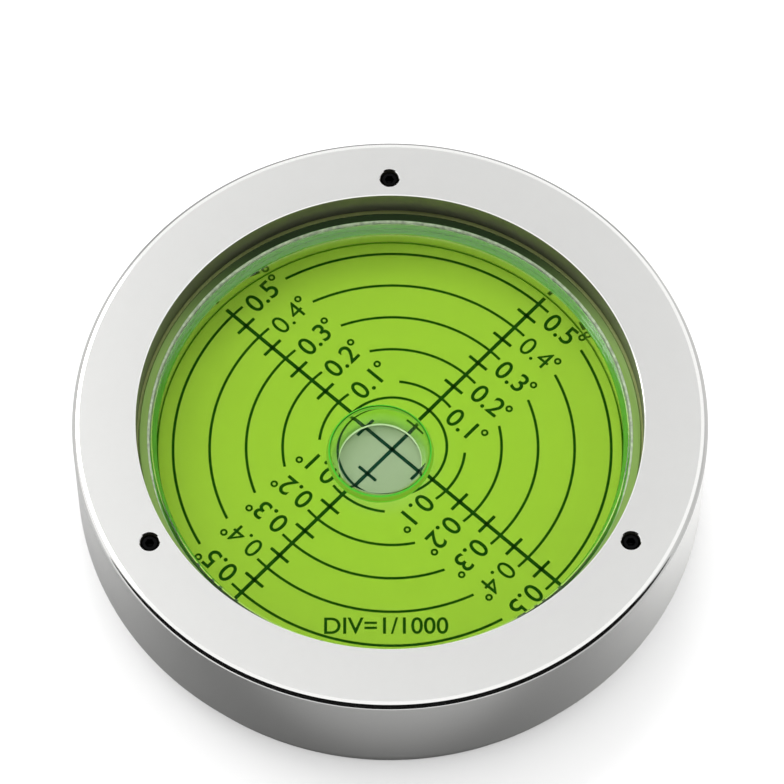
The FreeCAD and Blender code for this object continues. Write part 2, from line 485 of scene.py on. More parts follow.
# Carrier: its lighter yellow-green colour is painted green light from the spirit, falling into its dark
# groove.
CARRIER_PAINTED_GREEN_LIGHT = Metal("turned_carrier_aluminium", "d4e09a", 0.6, grain_size=(1.0, 1.0, 0.08))
BLACK_STEEL = Metal("black_oxide_steel", "151516", 0.28, grain_size=(0.1, 0.1, 0.1), relief=0.005)
SPRING_STEEL = Metal("drawn_spring_steel", "9b9a97", 0.25, grain_size=(0.3, 0.3, 0.05))
PLATED_STEEL = Metal("zinc_plated_steel", "c9ccd2", 0.22, grain_size=(0.2, 0.2, 0.2))
STOPPER_PLASTIC = Solid("stopper_plastic", "e9ebe4", 0.45)
SCALE_WHITE = Solid("matt_scale_disc", "eef2e6", 0.6, mottling=0.01, gloss=0.1)
INK = Solid("screen_ink", "25534a", 0.5, grain_size=0.1, gloss=0.05)
CEMENT = Solid("frosted_cement", "b4c4a6", 0.35, grain_size=0.06, relief=0.05, mottling=0.35)
CLEAR_ACRYLIC = Clear("clear_acrylic", 1.49)
# Rim of the cup: its green tint is painted light from the spirit, and its darker tint at the back is painted
# shade.
RIM_PAINTED_SPIRIT_LIGHT = Clear("spirit_lit_rim", 1.49, "a4c96f", clarity=0.35, shaded_back_colour="1c3a16")
# Ledge and inside of the cup: the bright green tint is painted light from the spirit.
LEDGE_PAINTED_SPIRIT_LIGHT = Clear("spirit_lit_ledge", 1.49, "6fc83f", clarity=0.35)
LOWER_WALL = Clear("green_lower_bubble_wall", 1.0, "c8ec9c", waviness=0.0)
GREEN_LIQUID = Clear("green_spirit", 1.36, absorbed=(0.748, 0.933, 0.022), density=430.0)
# Skin over the film under the bubble: its grey tint darkens the view of the disc there as painted shade;
# shadows pass it untinted.
BUBBLE_PAINTED_SHADE = Clear("film_under_bubble", 1.0, "d2dcd8", waviness=0.0)
# Pale line on the film's back edge: a painted highlight, widest at the back and nearly gone in front.
FILM_PAINTED_HIGHLIGHT = Solid("pale_edge_of_film", "d8ecc8", 0.4, grain_size=0.1)
# Rim of the bubble: its bright green lines and glow are painted light from the spirit.
RIM_PAINTED_GLOW = Meniscus("glowing_bubble_rim", 8.62, 11.28)


@dataclass(frozen=True)
class Extent:
    """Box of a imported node, in millimetres.

    Attributes:
        low: Lowest corner.
        high: Highest corner.
    """

    low: Vector
    high: Vector

    @classmethod
    def of(cls, node: str) -> "Extent":
        """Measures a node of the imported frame."""
        low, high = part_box(node)
        return cls(low / MM, high / MM)

    @property
    def radius(self) -> float:
        """Half of the box's width."""
        return (self.high.x - self.low.x) / 2


@dataclass(frozen=True)
class Station:
    """Corner of a turned half section.

    Attributes:
        radius: Distance from the axis, in millimetres.
        height: Height, in millimetres.
        finish: Material index of the band that runs from here to the next station.
    """

    radius: float
    height: float
    finish: int = 0


def boxed(node: str) -> Extent:
    """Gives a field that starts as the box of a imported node."""
    return field(default_factory=lambda: Extent.of(node))


def pointed(x: float, y: float, z: float = 0.0) -> Vector:
    """Gives a field that starts as a point, in millimetres."""
    return field(default_factory=lambda: Vector((x, y, z)))


def band(*corners: Range, finish: int = 0) -> list[Station]:
    """Lists stations with one finish from their radii and heights."""
    return [Station(radius, height, finish) for radius, height in corners]


def block(inner: float, outer: float, foot: float, top: float, finish: int = 0) -> list[Station]:
    """Lists the stations of a ring with a square section, or of a disc if its inner radius is nought."""
    return band((inner, foot), (outer, foot), (outer, top), (inner, top), finish=finish)


def polar(radius: float, azimuth: float, height: float = 0.0) -> Vector:
    """Finds a point round the level's axis, its azimuth in degrees from +X towards +Y."""
    angle = math.radians(azimuth)
    return Vector((radius * math.cos(angle), radius * math.sin(angle), height))


def aloft(distance: float, azimuth: float, elevation: float) -> Vector:
    """Finds a point in the studio at a distance from the origin and an elevation in degrees."""
    tilt = math.radians(elevation)
    return polar(distance * math.cos(tilt), azimuth, distance * math.sin(tilt))


def ring_azimuths(first: float) -> list[float]:
    """Lists the directions of the three screws of a ring from its first one, in degrees."""
    return [first + 360.0 * index / SCREW_COUNT for index in range(SCREW_COUNT)]


def numbered(stem: str) -> list[str]:
    """Lists the names of the nodes that come once for each screw."""
    return [f"{stem}_{number}" for number in range(1, SCREW_COUNT + 1)]


def turned(name: str, stations: Sequence[Station], segments: int) -> Mesh:
    """Spins a closed half section about the Z axis.

    Args:
        name: Name of the mesh.
        stations: Corners of the half section in order; a radius of nought is a pole.
        segments: Faces round the axis.

    Returns:
        A closed mesh.
    """
    shape = bmesh.new()
    rings = []
    for station in stations:
        if station.radius == 0:
            rings.append([shape.verts.new((0, 0, station.height))] * segments)
            continue
        steps = (360.0 * index / segments for index in range(segments))
        rings.append([shape.verts.new(polar(station.radius, azimuth, station.height)) for azimuth in steps])
    for index, station in enumerate(stations):
        following = (index + 1) % len(stations)
        if station.radius == 0 and stations[following].radius == 0:
            continue
        near, far = rings[index], rings[following]
        for here in range(segments):
            there = (here + 1) % segments
            corners = dict.fromkeys((near[here], near[there], far[there], far[here]))
            shape.faces.new(list(corners)).material_index = station.finish
    bmesh.ops.recalc_face_normals(shape, faces=shape.faces)
    return as_mesh(name, shape)


def as_mesh(name: str, shape: bmesh.types.BMesh) -> Mesh:
    """Turns a bmesh into a mesh and frees it."""
    mesh = bpy.data.meshes.new(name)
    shape.to_mesh(mesh)
    shape.free()
    return mesh


def moved(mesh: Mesh, place: Vector, turn: float = 0.0) -> Mesh:
    """Turns a mesh about Z by an angle in degrees, then moves it by millimetres, and gives it back."""
    mesh.transform(Matrix.Translation(place) @ Matrix.Rotation(math.radians(turn), 4, "Z"))
    return mesh


def merged(name: str, meshes: Sequence[Mesh]) -> Mesh:
    """Joins meshes into one and deletes them.

    Args:
        name: Name of the result.
        meshes: Meshes with the same list of materials.

    Returns:
        The joined mesh.
    """
    shape = bmesh.new()
    for mesh in meshes:
        shape.from_mesh(mesh)
        bpy.data.meshes.remove(mesh)
    return as_mesh(name, shape)


def linked(name: str, data: bpy.types.ID) -> Object:
    """Makes an object of a mesh, lamp or camera and links it to the scene."""
    made = bpy.data.objects.new(name, data)
    bpy.context.collection.objects.link(made)
    return made


def evaluated(carrier: Object) -> Mesh:
    """Takes the mesh that an object's modifiers make, and removes the object.

    Args:
        carrier: Object with modifiers, or a text object.

    Returns:
        A plain mesh.
    """
    bpy.context.collection.objects.link(carrier)
    bpy.context.view_layer.update()
    graph = bpy.context.evaluated_depsgraph_get()
    mesh = bpy.data.meshes.new_from_object(carrier.evaluated_get(graph), depsgraph=graph)
    bpy.data.objects.remove(carrier)
    return mesh


def cut(mesh: Mesh, tools: Sequence[Mesh], finishes: Sequence[Material]) -> Mesh:
    """Takes solids away from another by exact booleans.

    Args:
        mesh: Solid that is kept.
        tools: Closed solids that are taken away from it.
        finishes: Materials that the material indices of all of them stand for.

    Returns:
        The resulting mesh.
    """
    for solid in (mesh, *tools):
        for finish in finishes:
            solid.materials.append(finish)
    target = bpy.data.objects.new(mesh.name, mesh)
    helpers = [linked(tool.name, tool) for tool in tools]
    for helper in helpers:
        modifier = target.modifiers.new(helper.name, "BOOLEAN")
        modifier.operation = "DIFFERENCE"
        modifier.solver = "EXACT"
        modifier.object = helper
    result = evaluated(target)
    for helper in helpers:
        bpy.data.objects.remove(helper)
    return result


def ringed(name: str, stations: Sequence[Station], segments: int, circle: float, first: float) -> list[Mesh]:
    """Makes turned cutters, one for each screw of a ring.

    Args:
        name: Name of the cutters.
        stations: Corners of their half section.
        segments: Faces round the axis of each.
        circle: Radius of the ring, in millimetres.
        first: Direction of the first one, in degrees.

    Returns:
        The cutters in their places.
    """
    places = (polar(circle, azimuth) for azimuth in ring_azimuths(first))
    return [moved(turned(name, stations, segments), place) for place in places]


def text_mesh(words: str, height: float, thickness: float, boldness: float, spacing: float = 1.0) -> Mesh:
    """Makes raised lettering that reads from above.

    Args:
        words: Line of text.
        height: Height of a digit before its strokes are widened, in millimetres.
        thickness: Height of the ink above the plane, in millimetres.
        boldness: How far each stroke is widened, as a share of the font's size.
        spacing: Factor on the distance between letters.

    Returns:
        The lettering, centred on the origin.
    """
    curve = bpy.data.curves.new("lettering", "FONT")
    curve.body = words
    curve.size = 1.0
    curve.space_character = spacing
    curve.extrude = 0.5
    curve.offset = boldness
    curve.resolution_u = LETTER_POINTS
    mesh = evaluated(bpy.data.objects.new("lettering", curve))
    corners = [vertex.co for vertex in mesh.vertices]
    low = Vector(min(corner[axis] for corner in corners) for axis in range(3))
    high = Vector(max(corner[axis] for corner in corners) for axis in range(3))
    scale = height / (high.y - low.y - 2.0 * boldness)
    mesh.transform(Matrix.Diagonal((scale, scale, thickness, 1.0)) @ Matrix.Translation(-(low + high) / 2))
    mesh.transform(Matrix.Translation((0, 0, thickness / 2)))
    return mesh


def crease(mesh: Mesh) -> None:
    """Makes the edges between two finishes sharp."""
    shape = bmesh.new()
    shape.from_mesh(mesh)
    for edge in shape.edges:
        if len({face.material_index for face in edge.link_faces}) > 1:
            edge.smooth = False
    shape.to_mesh(mesh)
    shape.free()


def publish(
    name: str,
    mesh: Mesh,
    finishes: Sequence[Material],
    body: str = LEVEL,
    nodes: Sequence[str] = (),
) -> None:
    """Makes a finished piece of the level from a mesh in millimetres.

    Args:
        name: Name of the piece.
        mesh: Its mesh, in the frame of the level.
        finishes: Materials in the order of the mesh's material indices.
        body: Body that it moves with.
        nodes: Nodes of the frame that it stands for.
    """
    mesh.transform(Matrix.Scale(MM, 4))
    mesh.name = name
    bands = [min(face.material_index, len(finishes) - 1) for face in mesh.polygons]
    mesh.materials.clear()
    for finish in finishes:
        mesh.materials.append(finish)
    mesh.polygons.foreach_set("material_index", bands)
    mesh.shade_smooth()
    mesh.set_sharp_from_angle(angle=math.radians(SHARP_ANGLE))
    if len(finishes) > 1:
        crease(mesh)
    piece = linked(name, mesh)
    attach(piece, body)
    if nodes:
        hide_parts(*nodes)
    LOG.info("%s: %d faces on %s", name, len(mesh.polygons), body)


class GeometryTree:
    """Geometry node tree with named inputs, built in script."""

    def __init__(self, name: str) -> None:
        """Starts a tree that takes and gives a geometry and takes a material."""
        self.tree = bpy.data.node_groups.new(name, "GeometryNodeTree")
        self.declare("Geometry", "Geometry")
        self.declare("Material", "Material")
        self.tree.interface.new_socket("Geometry", in_out="OUTPUT", socket_type="NodeSocketGeometry")
        self.entry = self.tree.nodes.new("NodeGroupInput")
        self.exit = self.tree.nodes.new("NodeGroupOutput")

    def declare(self, kind: str, *names: str) -> None:
        """Adds inputs of one type to the tree, by name."""
        for name in names:
            self.tree.interface.new_socket(name, in_out="INPUT", socket_type=f"NodeSocket{kind}")

    def given(self, name: str) -> NodeSocket:
        """Finds the socket of one of the tree's inputs."""
        return self.entry.outputs[name]

    def add(self, kind: str, inputs: Inputs = None, **settings: object) -> NodeSocket:
        """Adds a geometry node, as add_node does, and gives its first output."""
        return add_node(self.tree, f"GeometryNode{kind}", inputs, **settings).outputs[0]

    def maths(self, operation: str, *values: object) -> NodeSocket:
        """Adds one step of arithmetic and gives its output."""
        return shade(self.tree, "Math", dict(enumerate(values)), operation=operation)

    def vector(self, x: object, y: object, z: object) -> NodeSocket:
        """Combines three values into a vector."""
        return shade(self.tree, "CombineXYZ", {"X": x, "Y": y, "Z": z})

    def polar(self, radius: object, angle: object, height: object) -> NodeSocket:
        """Finds a point at a radius, an angle in radians and a height."""
        across = self.maths("MULTIPLY", radius, self.maths("COSINE", angle))
        along = self.maths("MULTIPLY", radius, self.maths("SINE", angle))
        return self.vector(across, along, height)

    def finish(self, geometry: NodeSocket) -> None:
        """Realizes the instances, sets the material and ends the tree."""
        real = self.add("RealizeInstances", {"Geometry": geometry})
        painted = self.add("SetMaterial", {"Geometry": real, "Material": self.given("Material")})
        self.tree.links.new(painted, self.exit.inputs[0])

    def sweep(self, curve: NodeSocket, section: NodeSocket) -> None:
        """Sweeps a section along a curve, closes the ends and ends the tree."""
        self.finish(self.add("CurveToMesh", {"Curve": curve, "Profile Curve": section, "Fill Caps": True}))

    def run(self, mesh: Mesh | None = None, **values: object) -> Mesh:
        """Runs the tree once.

        Args:
            mesh: Mesh that goes into the tree, or none.
            **values: Value of each input, its name in lower case with underscores.

        Returns:
            The result as a plain mesh.
        """
        start = mesh or bpy.data.meshes.new(self.tree.name)
        carrier = bpy.data.objects.new(self.tree.name, start)
        modifier = carrier.modifiers.new(self.tree.name, "NODES")
        modifier.node_group = self.tree
        for item in self.tree.interface.items_tree:
            key = item.name.lower().replace(" ", "_")
            if item.in_out == "INPUT" and key in values:
                modifier[item.identifier] = values[key]
        return evaluated(carrier)


def ring_tree() -> GeometryTree:
    """Builds the tree that sets copies of a mesh round the axis, each turned to face outwards."""
    tree = GeometryTree("ring_of_copies")
    tree.declare("Int", "Count")
    tree.declare("Float", "Radius", "Height", "First Angle")
    given = tree.given
    step = tree.maths("DIVIDE", FULL_TURN, given("Count"))
    angle = tree.maths("MULTIPLY_ADD", tree.add("InputIndex"), step, given("First Angle"))
    place = tree.polar(given("Radius"), angle, given("Height"))
    points = tree.add("Points", {"Count": given("Count"), "Position": place})
    copies = {"Points": points, "Instance": given("Geometry"), "Rotation": tree.vector(0.0, 0.0, angle)}
    tree.finish(tree.add("InstanceOnPoints", copies))
    return tree


def arc_tree() -> GeometryTree:
    """Builds the tree of the scale's arcs: from past each label to the stub at the next arm."""
    tree = GeometryTree("scale_arcs")
    tree.declare("Int", "Rings", "Arms", "Points")
    tree.declare("Float", "First Radius", "Ring Step", "Arm Angle", "Restart", "Stub")
    tree.declare("Float", "Line Width", "Thickness", "Height")
    given, maths = tree.given, tree.maths
    index = tree.add("InputIndex")
    numbers = {
        "ring": maths("FLOOR", maths("DIVIDE", index, given("Arms"))),
        "arm": maths("MODULO", index, given("Arms")),
    }
    points = tree.add("Points", {"Count": maths("MULTIPLY", given("Rings"), given("Arms"))})
    for name, number in numbers.items():
        points = tree.add("StoreNamedAttribute", {"Geometry": points, "Name": name, "Value": number})
    line = tree.add("CurvePrimitiveLine", {"Start": (0, 0, 0), "End": (1, 0, 0)})
    stroke = tree.add("ResampleCurve", {"Curve": line, "Count": given("Points")})
    strokes = tree.add("InstanceOnPoints", {"Points": points, "Instance": stroke})
    real = tree.add("RealizeInstances", {"Geometry": strokes})
    along = shade(tree.tree, "SeparateXYZ", {"Vector": tree.add("InputPosition")}, "X")
    ring, arm = (tree.add("InputNamedAttribute", {"Name": name}) for name in numbers)
    radius = maths("MULTIPLY_ADD", ring, given("Ring Step"), given("First Radius"))
    sector = maths("DIVIDE", FULL_TURN, given("Arms"))
    restart, stub = (maths("DIVIDE", given(name), radius) for name in ("Restart", "Stub"))
    sweep = maths("ADD", maths("SUBTRACT", sector, restart), stub)
    start = maths("SUBTRACT", maths("MULTIPLY_ADD", arm, sector, given("Arm Angle")), restart)
    angle = maths("SUBTRACT", start, maths("MULTIPLY", along, sweep))
    bent = tree.add("SetPosition", {"Geometry": real, "Position": tree.polar(radius, angle, given("Height"))})
    level = tree.add("SetCurveNormal", {"Curve": bent}, mode="Z_UP")
    section = {"Width": given("Line Width"), "Height": given("Thickness")}
    tree.sweep(level, tree.add("CurvePrimitiveQuadrilateral", section))
    return tree


def coil_tree() -> GeometryTree:
    """Builds the tree of a round wire coiled about the axis, for springs and for the ridge of a thread."""
    tree = GeometryTree("coiled_wire")
    tree.declare("Float", "Turns", "Coil Radius", "Height", "Wire Radius", "Start Height")
    tree.declare("Int", "Steps", "Wire Sides")
    given = tree.given
    spiral = tree.add("CurveSpiral", {
        "Resolution": given("Steps"),
        "Rotations": given("Turns"),
        "Start Radius": given("Coil Radius"),
        "End Radius": given("Coil Radius"),
        "Height": given("Height"),
    })
    lift = tree.vector(0.0, 0.0, given("Start Height"))
    lifted = tree.add("SetPosition", {"Geometry": spiral, "Offset": lift})
    section = {"Resolution": given("Wire Sides"), "Radius": given("Wire Radius")}
    tree.sweep(lifted, tree.add("CurvePrimitiveCircle", section))
    return tree


@dataclass
class Housing:
    """Turned ring with the window, the well, three ear pockets and the tapped holes.

    Attributes:
        extent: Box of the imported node.
        rim_width: Width of the face from the wall to the window.
        edge_chamfer: Bright chamfer between the wall and the face.
        edge_curve: Corners of that chamfer, inwards from the wall and down from the face as shares of it.
        edge_end: Share of the chamfer's width where the run-out begins.
        soft_edge: Width of the polished run-out between the chamfer and the face.
        soft_drop: How far the run-out falls.
        window_chamfer: Width of the bright chamfer round the window.
        window_chamfer_depth: Depth of that chamfer.
        foot_chamfer: Broken edge at the foot of the wall.
        well_radius: Radius of the well that holds the carrier.
        well_roof: Height of the well's roof.
        pocket_radius: Radius of the pockets for the ears and springs.
        hole_clearance: Radial play of the screws in their holes.
        hole_chamfer: Broken edge of the tapped holes.
        tap_depth: Height of the ends of the tapped holes in the foot.
    """

    extent: Extent = boxed("housing")
    rim_width: float = 6.9
    edge_chamfer: float = 0.5
    edge_curve: tuple[Range, ...] = ((0.0, 1.0), (0.06, 0.9), (0.4, 0.5))
    edge_end: float = 0.82
    soft_edge: float = 0.36
    soft_drop: float = 0.05
    window_chamfer: float = 0.12
    window_chamfer_depth: float = 0.06
    foot_chamfer: float = 0.15
    well_radius: float = 28.9
    well_roof: float = 13.6
    pocket_radius: float = 2.65
    hole_clearance: float = 0.04
    hole_chamfer: float = 0.1
    tap_depth: float = 9.1

    def stations(self) -> list[Station]:
        """Lists the corners of the half section with their finishes."""
        outer, top, foot = self.extent.radius, self.extent.high.z, self.extent.low.z
        window, well, roof = outer - self.rim_width, self.well_radius, self.well_roof
        chamfer, broken = self.edge_chamfer, self.foot_chamfer
        curve = [(outer - inwards * chamfer, top - down * chamfer) for inwards, down in self.edge_curve]
        end = outer - self.edge_end * chamfer
        return [
            *band((window, roof), (well, roof), finish=Metalwork.BORE),
            *band((well, foot), (outer - broken, foot), (outer, foot + broken), finish=Metalwork.FACE),
            *band(*curve, (end, top - self.soft_drop), finish=Metalwork.EDGE),
            Station(end - self.soft_edge, top),
            Station(window + self.window_chamfer, top, Metalwork.EDGE),
            Station(window, top - self.window_chamfer_depth, Metalwork.BORE),
        ]

    def screw_bores(self) -> list[Mesh]:
        """Makes the stepped cutters of the ear pockets and the screw holes."""
        hole, pocket, roof = SCREW_DIAMETER / 2 + self.hole_clearance, self.pocket_radius, self.well_roof
        foot, top = self.extent.low.z - OVERRUN, self.extent.high.z
        mouth = (hole + self.hole_chamfer + OVERRUN, top + OVERRUN)
        profile = [
            *band((0, foot), (pocket, foot), (pocket, roof), (hole, roof), finish=Metalwork.BORE),
            *band((hole, top - self.hole_chamfer), mouth, (0, top + OVERRUN), finish=Metalwork.EDGE),
        ]
        return ringed("screw_bore", profile, BORE_FACES, SCREW_CIRCLE, ADJUSTER_AZIMUTH)

    def taps(self) -> list[Mesh]:
        """Makes the cutters of the blind holes for the base plate's screws."""
        foot, depth = self.extent.low.z - OVERRUN, self.tap_depth
        radius = BASE_SCREW_DIAMETER / 2 + self.hole_clearance
        corners = (0, foot), (radius, foot), (radius, depth), (0, depth + radius / 2)
        profile = band(*corners, finish=Metalwork.BORE)
        return ringed("tap", profile, TAP_FACES, BASE_SCREW_CIRCLE, BASE_SCREW_AZIMUTH)

    def build(self, finishes: Sequence[Material]) -> None:
        """Makes the housing.

        Args:
            finishes: Satin face and wall, bored surfaces darkened by painted shade, and bright chamfers.
        """
        blank = turned("housing_blank", self.stations(), HOUSING_FACES)
        shape = cut(blank, self.screw_bores() + self.taps(), finishes)
        publish("turned_housing", shape, finishes, nodes=["housing"])


@dataclass
class BasePlate:
    """Disc with a pilot, spring seats and countersunk holes, held by three screws.

    Attributes:
        extent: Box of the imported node.
        pilot_radius: Radius of the pilot that centres the plate in the housing.
        shoulder: Height of the face that meets the housing.
        edge_chamfer: Broken edge of the underside.
        seat_radius: Radius of the spring seats.
        seat_height: Height of their floors.
        screw_length: Length of the screws with their heads.
        head_radius: Radius of the countersunk heads.
        head_recess: How far the heads lie below the underside.
        head_clearance: Radial play of the heads and shanks in the plate.
        head_break: Broken edge of the heads.
        tip_chamfer: Chamfer of the screws' ends.
        blade_reach: Half length of the cross recess's blades, at the mouth and at the bottom.
        blade_width: Half width of those blades.
        blade_depth: Depth of the recess.
    """

    extent: Extent = boxed("base_plate")
    pilot_radius: float = 28.85
    shoulder: float = 3.8
    edge_chamfer: float = 0.3
    seat_radius: float = 1.6
    seat_height: float = 2.6
    screw_length: float = 8.0
    head_radius: float = 1.9
    head_recess: float = 0.1
    head_clearance: float = 0.12
    head_break: float = 0.05
    tip_chamfer: float = 0.3
    blade_reach: Range = (1.05, 0.35)
    blade_width: float = 0.2
    blade_depth: float = 0.95

    def plate(self, finishes: Sequence[Material]) -> Mesh:
        """Makes the plate with its holes and seats."""
        radius, top, edge = self.extent.radius, self.extent.high.z, self.edge_chamfer
        pilot, shoulder, over = self.pilot_radius, self.shoulder, top + OVERRUN
        turning = (radius, shoulder), (pilot, shoulder), (pilot, top)
        blank = turned("plate_blank", [
            *band((0, 0), (radius - edge, 0), (radius, edge)),
            *band(*turning, finish=Metalwork.BORE),
            Station(0, top),
        ], HOUSING_FACES)
        seat = block(0, self.seat_radius, self.seat_height, over, Metalwork.BORE)
        hole = BASE_SCREW_DIAMETER / 2 + self.head_clearance
        mouth = self.head_radius + self.head_recess + self.head_clearance
        corners = (0, -OVERRUN), (mouth + OVERRUN, -OVERRUN), (hole, mouth - hole), (hole, over), (0, over)
        sink = band(*corners, finish=Metalwork.BORE)
        tools = ringed("spring_seat", seat, SMALL_FACES, SPRING_CIRCLE, ADJUSTER_AZIMUTH)
        tools += ringed("countersink", sink, SMALL_FACES, BASE_SCREW_CIRCLE, BASE_SCREW_AZIMUTH)
        return cut(blank, tools, finishes)

    def screw(self, plated: Material) -> Mesh:
        """Makes one countersunk screw with a cross recess, its head down."""
        head, shank, length = self.head_radius, BASE_SCREW_DIAMETER / 2, self.screw_length
        blank = turned("screw_blank", band(
            (0, 0),
            (head - self.head_break, 0),
            (head, self.head_break),
            (shank, head - shank),
            (shank, length - self.tip_chamfer),
            (shank - self.tip_chamfer, length),
            (0, length),
        ), SMALL_FACES)
        return cut(blank, [self.blade(0.0), self.blade(90.0)], [plated])

    def blade(self, turn: float) -> Mesh:
        """Makes one tapered cutter of the cross recess, in a direction in degrees."""
        shape = bmesh.new()
        wide, narrow = self.blade_reach
        corners = [
            shape.verts.new((x * reach, y * self.blade_width, height))
            for reach, height in ((wide, -OVERRUN), (wide, 0.0), (narrow, self.blade_depth))
            for x, y in ((1, 1), (1, -1), (-1, -1), (-1, 1))
        ]
        bmesh.ops.convex_hull(shape, input=corners)
        return moved(as_mesh("recess_blade", shape), Vector(), turn)

    def build(self, ring: GeometryTree, finishes: Sequence[Material], plated: Material) -> None:
        """Makes the plate and its screws.

        Args:
            ring: Tree that sets copies round the axis.
            finishes: Satin underside, and turned surfaces darkened by painted shade.
            plated: Finish of the screws.
        """
        plate = self.plate(finishes)
        publish("dished_base_plate", plate, finishes, nodes=["base_plate"])
        screws = ring.run(
            self.screw(plated),
            count=SCREW_COUNT,
            radius=BASE_SCREW_CIRCLE,
            height=self.head_recess,
            first_angle=math.radians(BASE_SCREW_AZIMUTH),
            material=plated,
        )
        publish("cross_recess_screws", screws, [plated], nodes=numbered("base_screw"))


@dataclass
class Vial:
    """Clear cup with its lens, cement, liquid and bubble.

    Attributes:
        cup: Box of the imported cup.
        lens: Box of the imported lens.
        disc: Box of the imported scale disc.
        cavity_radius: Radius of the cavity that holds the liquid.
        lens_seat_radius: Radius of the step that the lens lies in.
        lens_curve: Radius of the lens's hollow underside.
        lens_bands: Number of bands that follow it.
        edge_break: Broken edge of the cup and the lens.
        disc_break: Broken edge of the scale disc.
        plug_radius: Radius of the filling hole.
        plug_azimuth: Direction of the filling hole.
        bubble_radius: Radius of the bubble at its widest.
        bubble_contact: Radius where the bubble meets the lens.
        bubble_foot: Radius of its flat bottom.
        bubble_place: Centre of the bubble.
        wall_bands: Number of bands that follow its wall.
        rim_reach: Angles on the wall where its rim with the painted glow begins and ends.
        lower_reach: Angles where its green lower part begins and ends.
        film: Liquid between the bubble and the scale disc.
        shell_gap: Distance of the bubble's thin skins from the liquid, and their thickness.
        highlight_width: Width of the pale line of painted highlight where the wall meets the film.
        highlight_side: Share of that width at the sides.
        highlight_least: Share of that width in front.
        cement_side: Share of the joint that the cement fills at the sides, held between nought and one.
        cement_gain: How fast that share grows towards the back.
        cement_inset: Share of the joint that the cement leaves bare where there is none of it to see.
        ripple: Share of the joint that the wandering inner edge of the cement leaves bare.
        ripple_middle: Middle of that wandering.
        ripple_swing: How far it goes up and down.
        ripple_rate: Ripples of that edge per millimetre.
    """

    cup: Extent = boxed("vial_cup")
    lens: Extent = boxed("vial_lens")
    disc: Extent = boxed("scale_disc")
    cavity_radius: float = 25.5
    lens_seat_radius: float = 26.5
    lens_curve: float = 2292.0
    lens_bands: int = 10
    edge_break: float = 0.12
    disc_break: float = 0.05
    plug_radius: float = 0.81
    plug_azimuth: float = 270.0
    bubble_radius: float = 5.85
    bubble_contact: float = 5.2
    bubble_foot: float = 4.55
    bubble_place: Vector = pointed(-1.1, -1.45)
    wall_bands: int = 20
    rim_reach: Range = (-12.0, 62.0)
    lower_reach: Range = (-88.0, -13.0)
    film: float = 0.3
    shell_gap: float = 0.015
    highlight_width: float = 0.2
    highlight_side: float = 0.2
    highlight_least: float = 0.02
    cement_side: float = 1.6
    cement_gain: float = 4.0
    cement_inset: float = 0.95
    ripple: float = 0.6
    ripple_middle: float = 0.65
    ripple_swing: float = 0.35
    ripple_rate: float = 0.9

    @property
    def lens_apex(self) -> float:
        """Height of the highest point of the lens's underside."""
        return self.lens.low.z + self.drop(self.cavity_radius)

    @property
    def film_top(self) -> float:
        """Height of the liquid's film under the bubble."""
        return self.disc.high.z + AIR_GAP + self.film

    def drop(self, radius: float) -> float:
        """Depth of the hollow underside below its apex at a distance from the axis, in millimetres."""
        return self.lens_curve - math.sqrt(self.lens_curve**2 - radius**2)

    def cup_mesh(self, finishes: Sequence[Material]) -> Mesh:
        """Makes the cup with its filling hole and its painted underside."""
        radius, foot, top = self.cup.radius, self.cup.low.z + AIR_GAP, self.cup.high.z
        edge, seat, cavity = self.edge_break, self.lens_seat_radius, self.cavity_radius
        ledge, floor = self.lens.low.z, self.disc.low.z
        outside = (radius - edge, foot), (radius, foot + edge), (radius, top - edge), (radius - edge, top)
        inside = (seat, top), (seat, ledge), (cavity, ledge), (cavity, floor), (0, floor)
        blank = turned("cup_blank", [
            Station(0, foot, Moulding.BACKING),
            *band(*outside, finish=Moulding.BODY),
            *band(*inside, finish=Moulding.LEDGE),
        ], VIAL_FACES)
        bore = turned("filling_hole", block(0, self.plug_radius, 0, 2 * OVERRUN + radius - cavity), TAP_FACES)
        outwards = polar(1.0, self.plug_azimuth).to_track_quat("Z", "Y").to_matrix().to_4x4()
        place = polar(cavity - OVERRUN, self.plug_azimuth, (self.disc.high.z + ledge) / 2)
        bore.transform(Matrix.Translation(place) @ outwards)
        return cut(blank, [bore], finishes)

    def underside(self, outer: float, gap: float) -> list[Station]:
        """Follows the hollow underside, at a distance below it, from an outer radius to the axis."""
        radii = [outer * (1 - step / self.lens_bands) for step in range(self.lens_bands)] + [0.0]
        return [Station(radius, self.lens_apex - self.drop(radius) - gap) for radius in radii]

    def lens_mesh(self) -> Mesh:
        """Makes the lens with its hollow underside."""
        radius, top, edge = self.lens.radius - AIR_GAP, self.lens.high.z, self.edge_break
        rim = band((0, top), (radius - edge, top), (radius, top - edge), (radius, self.lens.low.z + AIR_GAP))
        return turned("lens", rim + self.underside(self.cavity_radius, 0.0), VIAL_FACES)

    def bond_mesh(self) -> Mesh:
        """Makes the ring of cement between the lens and the cup."""
        inner, outer = self.lens.radius, self.lens_seat_radius - AIR_GAP
        section = block(inner, outer, self.lens.low.z + AIR_GAP, self.lens.high.z - AIR_GAP)
        ring = turned("cement", section, CEMENT_FACES)
        for vertex in ring.vertices:
            reach = vertex.co.xy.length
            if reach > (inner + outer) / 2:
                continue
            backness = min(max(self.cement_side + self.cement_gain * vertex.co.y / reach, 0.0), 1.0)
            ripple = self.ripple_middle + self.ripple_swing * noise.noise(vertex.co * self.ripple_rate)
            inset = (outer - inner) * (1 - backness * (1 - self.ripple * ripple)) * self.cement_inset
            vertex.co.xy *= (reach + inset) / reach
        return ring

